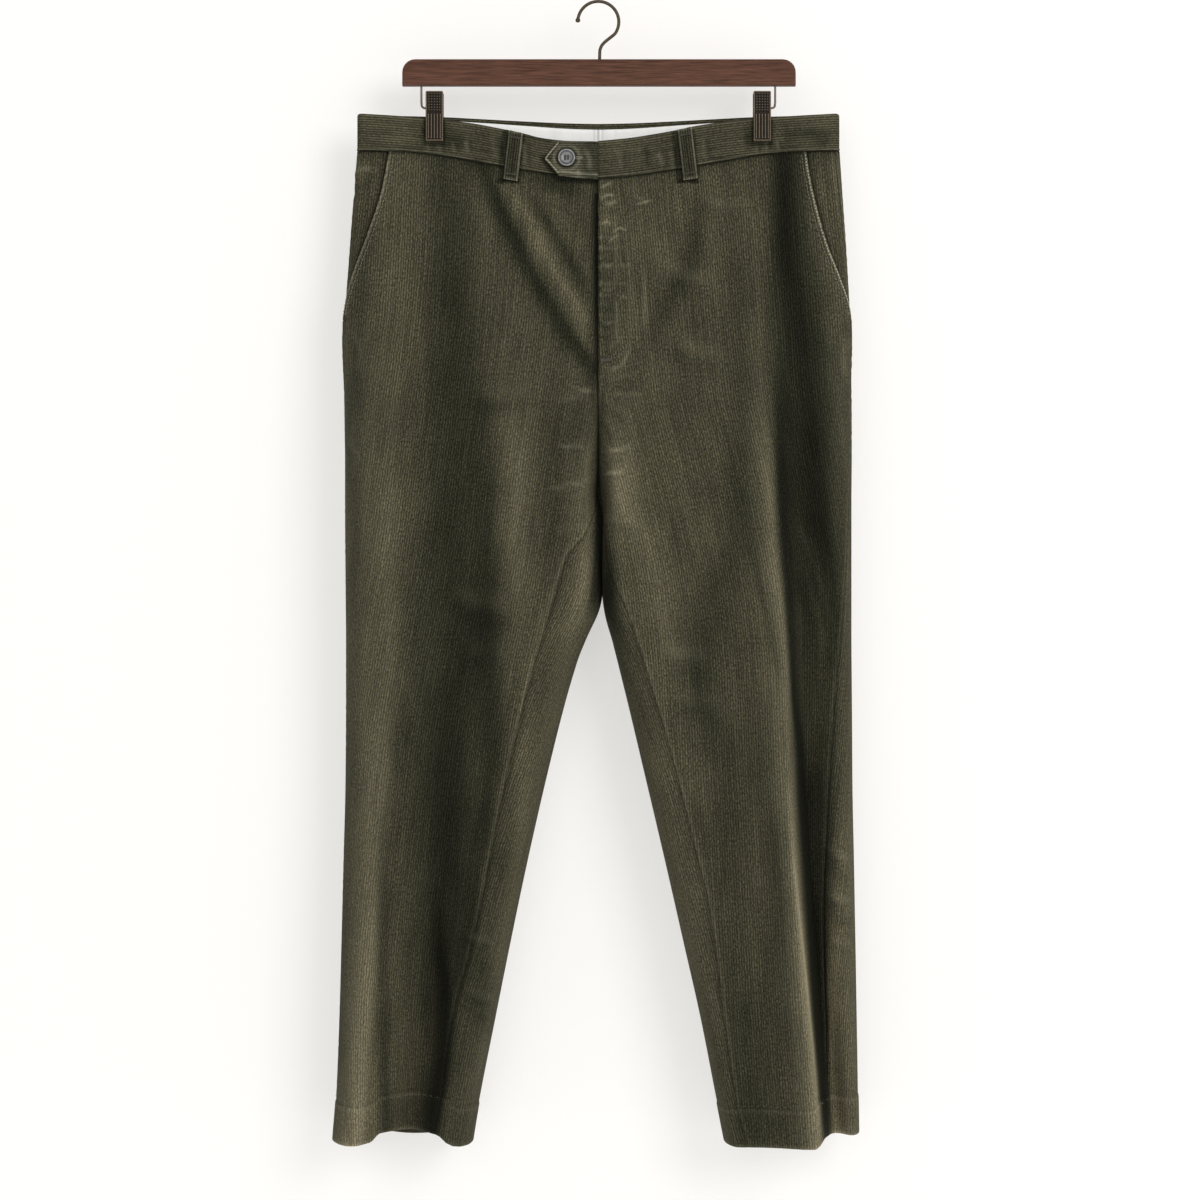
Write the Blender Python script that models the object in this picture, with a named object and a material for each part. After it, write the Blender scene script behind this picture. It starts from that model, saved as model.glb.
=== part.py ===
"""Corduroy trousers hanging by the waistband from a wooden clip hanger.

The part's own frame: the origin is the inside top of the hanger's hook, where a rail carries it,
+Z is up, +X is to the right of someone who faces the front, and the front faces -Y.
Sizes below are in millimetres. "drop" is a distance below the origin, "out" a distance from the
middle plane x = 0, and "depth" how far the cloth stands out from the plane y = 0, to the front on
front pieces and to the back on back pieces. "left" is the -X side and "right" the +X side.
"""

import math

import bmesh
import bpy
import numpy as np
from mathutils import Vector

MM = 0.001

# ---------------------------------------------------------------- driving sizes
CLOTH = 1.4  # one layer of corduroy
HEM_CLOTH = 2.5  # the turned-up hem, two layers
BAND_THICK = 2.9  # the waistband: two layers and its stiffening
BAND_PROUD = 0.8  # how far the waistband stands out past the panels under it
SEAM_HALF_GAP = 0.15
LAYER_GAP = 0.4  # between cloth layers that lie on each other
INSEAM_LEAVES = 0.9  # millimetres of wrap for each millimetre below the fork
CROTCH_BEND = 5.0  # how far the meeting inner faces of the legs bow sideways
POCKET_UNDERLAP = 12.0  # the pocket facing's width under the front panel
POCKET_GAP = 0.8  # between the front panel's slanted edge and the facing under it
FACING_SINK = (0.0, 0.2, 0.4, 0.9, 2.2)  # how far each of the facing's columns is sunk, seam first
FORK_DROP = 486.0  # where the four panels meet, and where each one's solid is in two
LEVEL_DROP = 240.0  # rows are level below this
HEM_LEVEL_DROP = 1085.0  # and above this

HALVES = {"left": -1.0, "right": 1.0}

# The outline, a row for each height. side: half the width. inner: the leg's inner edge.
# front, back: fullness. round_side, round_inner: how wide the cloth rolls round at each edge.
# mid_front, mid_back: depth of the front and back seam line above the fork, of the leg's inner
# edge below it.
SECTION_NAMES = (
    "drop", "side_left", "side_right", "inner_left", "inner_right", "front", "back",
    "round_side", "round_inner", "mid_front", "mid_back",
)
SECTIONS = (
    (149, 241.0, 241.0, 0.0, 0.0, 26, 33, 12, 8, 26, 33),
    (200, 245.0, 244.5, 0.0, 0.0, 28, 36, 15, 8, 28, 36),
    (260, 249.5, 248.5, 0.0, 0.0, 31, 40, 20, 8, 31, 40),
    (320, 253.5, 251.5, 0.0, 0.0, 34, 43, 24, 9, 34, 43),
    (372, 254.0, 252.5, 0.0, 0.0, 36, 45, 26, 11, 33, 45),
    (420, 253.5, 253.0, 0.0, 0.0, 37, 46, 26, 13, 26, 42),
    (455, 253.0, 253.0, 0.0, 0.0, 38, 46, 26, 16, 16, 32),
    (478, 253.0, 253.0, 0.0, 0.0, 38, 45, 26, 18, 4, 14),
    (486, 253.0, 253.0, 0.0, 0.0, 38, 45, 26, 18, -4, 4),
    (500, 253.0, 253.0, 0.8, 0.8, 38, 44, 26, 19, -4, 4),
    (575, 252.5, 253.0, 0.8, 0.8, 38, 41, 26, 20, -3, 3),
    (600, 252.3, 253.0, 4.0, 4.0, 37, 40, 26, 21, -2, 2),
    (633, 252.0, 253.0, 13.3, 12.7, 37, 38, 26, 22, 0, 0),
    (697, 252.0, 253.5, 32.3, 28.7, 36, 36, 26, 22, 0, 0),
    (777, 252.5, 254.0, 52.3, 47.7, 36, 35, 26, 21, 0, 0),
    (857, 254.5, 255.5, 70.5, 66.5, 37, 34, 26, 20, 0, 0),
    (937, 256.5, 257.0, 87.3, 84.7, 38, 34, 25, 18, 0, 0),
    (1017, 258.7, 258.3, 103.3, 102.7, 40, 34, 24, 16, 0, 0),
    (1097, 262.0, 259.5, 119.0, 118.3, 42, 35, 22, 14, 0, 0),
    (1136, 265.0, 260.0, 125.5, 126.0, 43, 36, 20, 13, 0, 0),
)

# Folds: rows of drop, out, height (below 0 for a trough), reach outward, reach inward.
FRONT_FOLDS = {
    "left": {
        "outer lobe": (
            (165, 197, 0, 26, 20), (230, 196, 3, 26, 20), (300, 200, 4, 26, 18),
            (360, 208, 6, 26, 17), (600, 208, 7, 26, 15), (747, 211, 9, 24, 12),
            (847, 218, 10, 22, 10), (970, 226, 11, 20, 10), (1100, 236, 12, 18, 9),
            (1137, 238, 12, 18, 9),
        ),
        "trough": (
            (175, 150, 0, 38, 30), (240, 146, -4, 40, 32), (400, 142, -5, 42, 36),
            (500, 133, -7, 40, 36), (625, 124, -10, 42, 30), (720, 143, -14, 36, 32),
            (800, 150, -17, 34, 32), (880, 160, -21, 32, 32), (960, 168, -25, 30, 30),
            (1040, 175, -31, 28, 27), (1100, 182, -36, 27, 26), (1137, 186, -38, 27, 25),
        ),
        "inner ridge": (
            (185, 110, 0, 22, 30), (240, 108, 4, 20, 30), (350, 92, 5, 22, 26),
            (470, 80, 6, 24, 24), (600, 76, 6, 24, 24), (720, 70, 5, 24, 22),
            (830, 92, 4, 22, 20), (920, 110, 0, 22, 20),
        ),
        "inner valley": (
            (400, 52, 0, 16, 14), (450, 50, -4, 16, 14), (560, 50, -4, 16, 14),
            (620, 56, 0, 16, 14),
        ),
        "tab drag": (
            (182, 96, 0, 12, 10), (205, 90, -5, 13, 10), (260, 79, -7, 15, 9),
            (300, 60, -6, 15, 8), (350, 29, -4, 13, 8), (378, 6, 0, 10, 6),
        ),
        "tab ridge": (
            (182, 72, 0, 10, 10), (212, 67, 4, 10, 9), (257, 50, 5, 10, 9),
            (297, 27, 4, 10, 8), (345, 11, 2, 8, 6), (370, 4, 0, 8, 6),
        ),
        "tab second drag": (
            (182, 52, 0, 8, 8), (212, 48, -3, 9, 8), (257, 32, -3, 9, 8), (300, 12, 0, 8, 8),
        ),
    },
    "right": {
        "inner bulge": (
            (380, 26, 0, 22, 16), (430, 28, 4, 24, 16), (500, 34, 5, 26, 18),
            (560, 50, 5, 28, 20), (660, 70, 5, 28, 24), (800, 96, 4, 30, 24),
            (950, 118, 0, 30, 24),
        ),
        "middle hollow": (
            (420, 118, 0, 34, 34), (560, 122, -4, 34, 34), (760, 136, -6, 30, 34),
            (900, 150, -5, 26, 34), (1040, 170, -3, 24, 30), (1137, 180, -2, 20, 30),
        ),
        "outer ridge": (
            (165, 156, 0, 12, 40), (220, 156, 4, 12, 40), (350, 157, 6, 11, 40),
            (450, 163, 8, 10, 40), (550, 171, 10, 9, 42), (650, 182, 13, 9, 44),
            (750, 185, 15, 9, 46), (850, 190, 17, 9, 46), (950, 197, 18, 9, 46),
            (1050, 206, 19, 9, 44), (1110, 213, 19, 8, 44), (1137, 215, 19, 8, 44),
        ),
        "outer trough": (
            (165, 188, 0, 26, 18), (220, 188, -6, 26, 17), (350, 192, -8, 24, 17),
            (450, 198, -11, 22, 16), (550, 204, -14, 20, 15), (650, 207, -18, 20, 14),
            (750, 207, -22, 20, 13), (850, 212, -26, 20, 12), (950, 218, -29, 18, 11),
            (1050, 227, -32, 16, 11), (1137, 236, -33, 15, 11),
        ),
        "rolled slant": (
            (500, 184, 0, 8, 8), (540, 196, 4, 8, 8), (600, 216, 4, 9, 8), (660, 234, 0, 9, 8),
        ),
        "fly drag": (
            (185, 92, 0, 12, 12), (210, 90, -3, 12, 12), (297, 70, -3, 14, 12),
            (347, 42, 0, 12, 12),
        ),
    },
}
BACK_FOLDS = {
    "left": {
        "seat fold": (
            (330, 40, 0, 18, 20), (420, 52, -5, 20, 20), (560, 74, -6, 22, 22), (700, 92, 0, 22, 22),
        ),
        "side ridge": (
            (200, 186, 0, 28, 30), (320, 192, 4, 28, 30), (620, 194, 7, 26, 28),
            (900, 214, 8, 22, 26), (1137, 228, 8, 20, 24),
        ),
        "long hollow": (
            (420, 146, 0, 30, 30), (620, 142, -6, 32, 32), (860, 164, -10, 30, 30),
            (1137, 190, -14, 24, 26),
        ),
        "under-seat ridge": (
            (460, 108, 0, 22, 22), (560, 106, 5, 22, 22), (760, 112, 4, 22, 22), (900, 128, 0, 22, 22),
        ),
    },
    "right": {
        "seat fold": (
            (320, 34, 0, 18, 18), (400, 48, -4, 20, 20), (540, 66, -6, 22, 22), (680, 80, 0, 22, 22),
        ),
        "side ridge": (
            (220, 178, 0, 30, 34), (340, 184, 5, 28, 32), (640, 200, 8, 22, 30),
            (900, 206, 9, 22, 30), (1137, 222, 8, 18, 26),
        ),
        "long hollow": (
            (400, 136, 0, 30, 30), (600, 140, -5, 32, 32), (840, 150, -9, 30, 30),
            (1137, 180, -12, 24, 26),
        ),
        "under-seat ridge": (
            (470, 96, 0, 22, 22), (580, 98, 5, 22, 22), (780, 104, 5, 22, 22), (920, 124, 0, 22, 22),
        ),
    },
}

# Lines that run down the garment: drop, out.
POCKET_SLANT = {
    "left": ((149, 208), (190, 216), (234, 230), (270, 242.5), (292, 248.5), (319, 253)),
    "right": ((149, 207), (168, 209.5), (204, 217), (244, 228), (277, 240), (306, 248.5), (322, 251)),
}
OUTSEAM = {  # arc length forward of the side edge, so a seam at the back of it is below 0
    "left": ((149, -8), (1137, -8)),
    "right": ((149, 8), (322, 6), (394, 8), (504, 22), (608, 32), (687, 40), (749, 45), (835, 53),
              (900, 60), (1000, 64), (1137, 62)),
}
INSEAM = {
    "left": ((486, 0), (500, 13), (560, 33), (611, 48), (682, 69), (779, 92), (933, 124),
             (1012, 145), (1097, 156.5), (1137, 162)),
    "right": ((486, 0), (500, 4), (564, 10), (606, 27), (679, 51), (750, 72), (849, 97),
              (894, 108), (1102, 138), (1137, 148)),
}
# Guide lines that the front panels' columns follow, from the outer edge inward.
FRONT_GUIDES = {
    "left": (
        ((149, 196), (300, 199), (360, 208), (600, 208), (747, 211), (847, 218), (970, 226), (1137, 238)),
        ((149, 178), (350, 188), (600, 192), (747, 198), (847, 208), (970, 217), (1137, 227)),
        ((149, 104), (300, 112), (386, 122), (561, 148), (739, 182), (863, 197), (947, 207),
         (1018, 212), (1137, 215)),
    ),
    "right": (
        ((149, 170), (400, 171), (475, 177), (560, 184), (650, 191), (750, 195), (850, 202),
         (950, 209), (1050, 217), (1137, 224)),
        ((149, 156), (350, 157), (450, 163), (550, 171), (650, 181), (750, 185), (850, 190),
         (950, 197), (1050, 206), (1137, 214)),
        ((149, 100), (386, 120), (449, 134), (517, 150), (590, 164), (671, 172), (750, 175),
         (950, 186), (1137, 200)),
    ),
}
FRONT_STEPS = {"left": (1, 3, 1, 4, 8), "right": (1, 4, 1, 2, 10)}  # columns between guides
BACK_STEPS = (3, 9, 3)  # inseam to inner edge, across the back, round the side

# Rows of the panels: the waist seam first, the hem last.
ROWS = (
    149, 168, 192, 216, 240, 268, 294, 318, 331, 345, 372, 398, 424, 448, 466, 478, 486, 494,
    504, 520, 545, 572, 600, 633, 675, 725, 780, 835, 890, 945, 1000, 1050, 1085, 1098, 1136,
)
POCKET_END_DROP = 318
FACING_END_DROP = 331
FLY_END_DROP = 372

# The waist, a row for each distance from the middle plane.
WAIST_NAMES = ("out", "front_depth", "back_depth", "front_seam", "back_top", "back_seam")
WAIST = (
    (0, 16.0, 20.0, 178.0, 119.0, 157.5),
    (30, 15.5, 19.5, 175.5, 118.5, 157.0),
    (76, 12.5, 16.0, 168.5, 117.0, 155.5),
    (120, 8.5, 10.5, 160.5, 115.5, 153.0),
    (155, 5.0, 5.4, 153.8, 114.5, 151.0),
    (172, 4.6, 5.0, 151.6, 114.0, 150.2),
    (205, 7.0, 7.4, 149.5, 112.8, 149.2),
    (241, 7.0, 7.0, 149.0, 112.0, 149.0),
)
FRONT_TOP = (  # drop of the front waistband's top edge: out, left, right
    (0, 141.0, 141.0), (30, 140.4, 138.0), (55, 137.6, 134.0), (76, 132.5, 130.0),
    (96, 128.2, 125.5), (130, 121.5, 120.0), (164, 117.3, 116.2), (205, 114.2, 114.0),
    (241, 112.0, 112.0),
)
WAIST_ROUND = 8.0  # how wide the waistband rolls round at the sides
WAIST_BLEND_DROP = 455.0  # below this the waist's own curve has died away

HEM_FRONT = {  # drop of the hem's edge: out, drop
    "left": ((125, 1136), (146, 1135), (160, 1126), (215, 1124), (226, 1132), (265, 1134)),
    "right": ((126, 1136), (212, 1135), (224, 1128), (260, 1127)),
}
HEM_BACK = {
    "left": ((125, 1136), (200, 1133), (265, 1134)),
    "right": ((126, 1136), (200, 1131), (260, 1127)),
}

TAB_TIP_OUT = 53.0
TAB_SHOULDER_OUT = 39.0
TAB_THICK = 2.2
BUTTON_OUT = 31.6
BUTTON_DROP = 157.0
BUTTON_DIAMETER = 17.4
BUTTON_THICK = 3.4
LOOP_WIDTH = 13.5
LOOP_THICK = 1.6
LOOP_TAIL = 12.0  # how far a belt loop runs on below the waistband
FLY_SHIELD_WIDTH = 42.0
ZIP_WIDTH = 26.0

BAR_LENGTH = 393.0
BAR_CENTRE_X = 0.7
BAR_TOP_DROP = 57.0
BAR_BOTTOM_DROP = 83.0
BAR_THICK = 13.0
BAR_CORNER = 13.0
HOOK_WIRE = 3.2
HOOK_RADIUS = 20.5
CLIP_OUT = 163.6
CLIP_WIDTH = 17.5
CLIP_TOP_DROP = 89.0
CLIP_BOTTOM_DROP = 139.0
CLIP_THICK = 2.6
CLIP_WIRE = 2.2
CLIP_WIRE_OUT = 176.9


# ---------------------------------------------------------------- reading the tables
def smooth(xs, ys, at):
    """A curve through table points that never overshoots them."""
    xs = np.asarray(xs, float)
    ys = np.asarray(ys, float)
    at = np.clip(np.asarray(at, float), xs[0], xs[-1])
    step = np.diff(xs)
    rise = np.diff(ys) / step
    slope = np.zeros(len(xs))
    slope[0], slope[-1] = rise[0], rise[-1]
    same = rise[:-1] * rise[1:] > 0
    pair = rise[:-1] + rise[1:]
    slope[1:-1] = np.where(same, 2 * rise[:-1] * rise[1:] / np.where(same, pair, 1.0), 0.0)
    k = np.clip(np.searchsorted(xs, at, side="right") - 1, 0, len(step) - 1)
    t = (at - xs[k]) / step[k]
    a, b = ys[k], ys[k + 1]
    return (
        a * (1 + 2 * t) * (1 - t) ** 2
        + slope[k] * step[k] * t * (1 - t) ** 2
        + b * t * t * (3 - 2 * t)
        + slope[k + 1] * step[k] * t * t * (t - 1)
    )


def column(names, rows, name, at):
    """One named column of a table, read at a value of its first column."""
    data = np.array(rows, float)
    return smooth(data[:, 0], data[:, names.index(name)], at)


def section(name, drop):
    return float(column(SECTION_NAMES, SECTIONS, name, drop))


def waist(name, out):
    return column(WAIST_NAMES, WAIST, name, out)


def line(points, at, value=1):
    data = np.array(points, float)
    return smooth(data[:, 0], data[:, value], at)


def step_up(edge0, edge1, at):
    t = np.clip((np.asarray(at, float) - edge0) / (edge1 - edge0), 0, 1)
    return t * t * (3 - 2 * t)


def rolled(distance, radius, roundness=1.0):
    """0 at an edge, 1 a radius away from it: a quarter round, or a softer V at roundness 0."""
    t = np.clip(distance / radius, 0, 1)
    return roundness * np.sqrt(1 - (1 - t) ** 2) + (1 - roundness) * np.sin(math.pi / 2 * t)


# ---------------------------------------------------------------- the garment's form
def folds(table, out, drop):
    """The height that all the folds of one half add at a height and at distances out."""
    total = np.zeros(len(out))
    for rows in table.values():
        data = np.array(rows, float)
        if not data[0, 0] <= drop <= data[-1, 0]:
            continue
        centre, height, outward, inward = (smooth(data[:, 0], data[:, k], drop) for k in (1, 2, 3, 4))
        reach = np.where(out > centre, outward, inward)
        total += height * np.exp(-(((out - centre) / reach) ** 2))
    return total


def run_depth(half, face, out, drop):
    """Depth of the front or back face of one half at distances out."""
    side = section("side_" + half, drop)
    inner = section("inner_" + half, drop)
    full = section(face, drop)
    middle = section("mid_" + face, drop)
    table = (FRONT_FOLDS if face == "front" else BACK_FOLDS)[half]
    at_side = rolled(side - out, section("round_side", drop))
    apart = float(step_up(FORK_DROP, FORK_DROP + 60, drop))
    at_inner = rolled(out - inner, section("round_inner", drop), apart)
    body = (full + folds(table, out, drop)) * at_side * at_inner
    body = body + middle * (1 - at_inner) * at_side
    waist_curve = waist(face + "_depth", out) - BAND_PROUD
    top = waist_curve * rolled(side - out, WAIST_ROUND)
    share = float(step_up(149.0, WAIST_BLEND_DROP, drop))
    return top * (1 - share) + body * share


def half_ring(half, drop, count=140):
    """The section of one half: the back run to the side edge, then the front run.

    Returns the points as out and depth (to the front), their arc length measured from the side
    edge, below 0 on the back run, and the index of the side edge."""
    side = section("side_" + half, drop)
    inner = section("inner_" + half, drop)
    turn = np.linspace(0, math.pi, count)
    out = side - (side - inner) * (0.5 - 0.5 * np.cos(turn))
    front = run_depth(half, "front", out, drop)
    back = -run_depth(half, "back", out, drop)
    points = np.concatenate(
        [np.stack([out, back], 1)[::-1], np.stack([out, front], 1)[1:]]
    )
    steps = np.linalg.norm(np.diff(points, axis=0), axis=1)
    arc = np.concatenate([[0], np.cumsum(steps)])
    return points, arc - arc[count - 1], count - 1


def front_arc(ring, out):
    """Arc length of the point of the front run that lies at a distance out."""
    points, arc, edge = ring
    run_out, run_arc = points[edge:, 0][::-1], arc[edge:][::-1]
    return float(np.interp(out, run_out, run_arc))


def read_path(path, keys, steps):
    """Points along a path: an even spread between each key and the next."""
    points, arc = path
    places = [keys[0]]
    for a, b, count in zip(keys, keys[1:], steps):
        places += list(np.linspace(a, b, count + 1)[1:])
    return np.stack([np.interp(places, arc, points[:, k]) for k in (0, 1)], 1)


def in_order(keys, start, end, least):
    """Keys held between start and end, each a little past the one before."""
    held = [start]
    left = len(keys)
    for key in keys:
        held.append(min(max(key, held[-1] + least), end - least * left))
        left -= 1
    return held + [end]


def panel_start(half, ring, drop):
    if drop <= POCKET_END_DROP:
        return front_arc(ring, float(line(POCKET_SLANT[half], drop)))
    return float(line(OUTSEAM[half], drop))


def inseam_arc(half, ring, drop):
    """Arc length of the inseam, which leaves the fork no faster than INSEAM_LEAVES."""
    end = ring[1][-1]
    wrapped = end - front_arc(ring, float(line(INSEAM[half], drop)))
    return end - min(wrapped, INSEAM_LEAVES * (drop - FORK_DROP))


def front_row(half, drop):
    ring = half_ring(half, drop)
    points, arc, _ = ring
    start = panel_start(half, ring, drop)
    if drop <= FORK_DROP:
        end = arc[-1]
    else:
        end = inseam_arc(half, ring, drop)
    keys = [front_arc(ring, float(line(guide, drop))) for guide in FRONT_GUIDES[half]]
    edge_step = 0.0 if half == "left" and drop > POCKET_END_DROP else start + 7.0
    keys.insert(0, edge_step)
    return read_path((points, arc), in_order(keys, start, end, 1.5), FRONT_STEPS[half])


def back_row(half, drop):
    ring = half_ring(half, drop)
    points, arc, edge = ring
    outseam = float(line(OUTSEAM[half], drop))
    first, across, side = BACK_STEPS
    if drop <= FORK_DROP:
        near = 2.0 + 34.0 * (1 - float(step_up(360, FORK_DROP, drop)))
        keys = [arc[0], arc[0] + near]
        path = (points, arc)
    else:
        inseam = inseam_arc(half, ring, drop)
        wrap = arc >= inseam
        lead = arc[wrap] - arc[-1] + arc[0]
        wrap_start = np.array([np.interp(inseam, arc, points[:, k]) for k in (0, 1)])
        path_points = np.concatenate([[wrap_start], points[wrap][:-1], points])
        path_arc = np.concatenate([[inseam - arc[-1] + arc[0]], lead[:-1], arc])
        path = (path_points, path_arc)
        keys = [path_arc[0], arc[0]]
    round_side = min(-28.0, outseam - 18.0)
    return read_path(path, keys + [round_side, outseam], (first, across, side))


def facing_row(half, drop):
    ring = half_ring(half, drop)
    points, arc, _ = ring
    slant = front_arc(ring, float(line(POCKET_SLANT[half], drop)))
    outseam = float(line(OUTSEAM[half], drop))
    slant = max(slant, outseam + 2.0)
    underlap = POCKET_UNDERLAP * (1 - 0.7 * float(step_up(250, POCKET_END_DROP, drop)))
    return read_path((points, arc), [outseam, slant, slant + underlap], (3, 1))


def warped_drop(half, face, out, drop):
    """The real drop of a point in a nominally level row: level but for the waist and hem."""
    if drop < LEVEL_DROP:
        seam = waist(face + "_seam", out)
        share = (drop - ROWS[0]) / (LEVEL_DROP - ROWS[0])
        return seam * (1 - share) + LEVEL_DROP * share
    if drop > HEM_LEVEL_DROP:
        hem = line((HEM_FRONT if face == "front" else HEM_BACK)[half], out)
        share = (drop - HEM_LEVEL_DROP) / (ROWS[-1] - HEM_LEVEL_DROP)
        return HEM_LEVEL_DROP * (1 - share) + hem * share
    return np.full_like(out, drop)


def placed(half, row, drop):
    """A section's points in the part's frame, in millimetres."""
    out, depth = row[:, 0], row[:, 1]
    front = warped_drop(half, "front", out, drop)
    back = warped_drop(half, "back", out, drop)
    real = np.where(depth >= 0, front, back)
    bow = CROTCH_BEND * float(step_up(486, 520, drop) * (1 - step_up(590, 640, drop)))
    sideways = bow * np.exp(-((out / 16) ** 2)) * np.clip(1 - np.abs(depth) / 26, 0, 1)
    return np.stack([HALVES[half] * out + sideways, -depth, -real], 1)


def panel_grid(half, row_of, drops):
    return np.array([placed(half, row_of(half, drop), drop) for drop in drops])


# ---------------------------------------------------------------- walls from grids
def quads(rows, cols):
    r, c = np.meshgrid(np.arange(rows - 1), np.arange(cols - 1), indexing="ij")
    a = (r * cols + c).ravel()
    return np.stack([a, a + 1, a + cols + 1, a + cols], 1)


def offsets(grids, flips):
    """Outward vectors for every point of grids that meet at seams.

    A vector, times a thickness, moves a point so that all the faces round it move by that
    thickness. Points in the same place, on two grids, share one vector."""
    points = np.concatenate([g.reshape(-1, 3) for g in grids])
    faces, start = [], 0
    for grid, flip in zip(grids, flips):
        f = quads(*grid.shape[:2]) + start
        faces.append(f[:, ::-1] if flip else f)
        start += grid.shape[0] * grid.shape[1]
    faces = np.concatenate(faces)
    _, weld = np.unique(np.round(points, 3), axis=0, return_inverse=True)
    weld = weld.ravel()
    first, second, third, fourth = (points[faces[:, k]] for k in range(4))
    normal = np.cross(third - first, fourth - second)
    area = np.linalg.norm(normal, axis=1)
    normal = normal / np.maximum(area, 1e-9)[:, None]
    weight = np.sqrt(area)
    count = weld.max() + 1
    matrix = np.zeros((count, 3, 3))
    vector = np.zeros((count, 3))
    for corner in range(4):
        at = weld[faces[:, corner]]
        np.add.at(matrix, at, weight[:, None, None] * normal[:, :, None] * normal[:, None, :])
        np.add.at(vector, at, weight[:, None] * normal)
    total = np.trace(matrix, axis1=1, axis2=2)
    mean = vector / np.maximum(np.linalg.norm(vector, axis=1), 1e-9)[:, None]
    steady = 0.2 * np.maximum(total, 1e-9)
    matrix += steady[:, None, None] * np.eye(3)
    solved = np.linalg.solve(matrix, (vector + steady[:, None] * mean)[:, :, None])[:, :, 0]
    length = np.linalg.norm(solved, axis=1)
    solved *= np.minimum(1, 1.5 / np.maximum(length, 1e-9))[:, None]
    out, start = [], 0
    for grid in grids:
        size = grid.shape[0] * grid.shape[1]
        out.append(solved[weld[start:start + size]].reshape(grid.shape))
        start += size
    return out


def inset(grid, edges, amount=SEAM_HALF_GAP):
    """The grid with chosen edges drawn in: first and last column, first and last row."""
    grid = grid.copy()

    def pull(edge, inside):
        way = inside - edge
        return edge + amount * way / np.maximum(np.linalg.norm(way, axis=-1, keepdims=True), 1e-6)

    if "first_column" in edges:
        grid[:, 0] = pull(grid[:, 0], grid[:, 1])
    if "last_column" in edges:
        grid[:, -1] = pull(grid[:, -1], grid[:, -2])
    if "first_row" in edges:
        grid[0] = pull(grid[0], grid[1])
    if "last_row" in edges:
        grid[-1] = pull(grid[-1], grid[-2])
    return grid


def solid(name, points, faces, material, smooth_shading=True):
    """One closed object from points in millimetres and faces that point out."""
    mesh = bpy.data.meshes.new(name)
    mesh.from_pydata([tuple(float(v) * MM for v in p) for p in points], [], faces)
    bm = bmesh.new()
    bm.from_mesh(mesh)
    bmesh.ops.remove_doubles(bm, verts=bm.verts, dist=1e-7)
    bmesh.ops.triangulate(bm, faces=[f for f in bm.faces if len(f.verts) > 3])
    bmesh.ops.recalc_face_normals(bm, faces=bm.faces)
    bm.to_mesh(mesh)
    bm.free()
    if smooth_shading:
        mesh.shade_smooth()
        mesh.set_sharp_from_angle(angle=math.radians(40))
    mesh.materials.append(material)
    thing = bpy.data.objects.new(name, mesh)
    bpy.context.collection.objects.link(thing)
    return thing


def wall(name, outer, inner, material):
    """A closed wall between two grids of the same size."""
    rows, cols = outer.shape[:2]
    size = rows * cols
    top = quads(rows, cols)
    faces = [tuple(int(i) for i in f) for f in top]
    faces += [tuple(int(i) + size for i in f[::-1]) for f in top]
    rim = [c for c in range(cols)]
    rim += [r * cols + cols - 1 for r in range(1, rows)]
    rim += [(rows - 1) * cols + c for c in range(cols - 2, -1, -1)]
    rim += [r * cols for r in range(rows - 2, 0, -1)]
    for a, b in zip(rim, rim[1:] + rim[:1]):
        faces.append((b, a, a + size, b + size))
    points = np.concatenate([outer.reshape(-1, 3), inner.reshape(-1, 3)])
    return solid(name, points, faces, material)


def paint(name, colour, roughness, metallic=0.0):
    material = bpy.data.materials.new(name)
    material.use_nodes = True
    shader = material.node_tree.nodes["Principled BSDF"]
    shader.inputs["Base Color"].default_value = (*colour, 1.0)
    shader.inputs["Roughness"].default_value = roughness
    shader.inputs["Metallic"].default_value = metallic
    return material


# ---------------------------------------------------------------- the sewn panels
def along_row(grid):
    """Distance of each point from its row's first point."""
    steps = np.linalg.norm(np.diff(grid, axis=1), axis=2)
    return np.concatenate([np.zeros((len(grid), 1)), np.cumsum(steps, axis=1)], axis=1)


def front_lift(half, grid, drops):
    """How far a front panel is raised over its pocket facing or sunk under the fly's edge."""
    drop = np.array(drops, float)[:, None]
    near_pocket = 1 - step_up(POCKET_UNDERLAP + 2, POCKET_UNDERLAP + 28, along_row(grid))
    over_facing = 1 - step_up(FACING_END_DROP, 398, drop)
    lift = (CLOTH + POCKET_GAP) * near_pocket * over_facing
    if half == "left":
        near_fly = 1 - step_up(2, 26, np.abs(grid[:, :, 0]))
        lift = lift - (CLOTH + 0.3) * near_fly * (1 - step_up(FLY_END_DROP, 400, drop))
    return lift[:, :, None]


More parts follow.
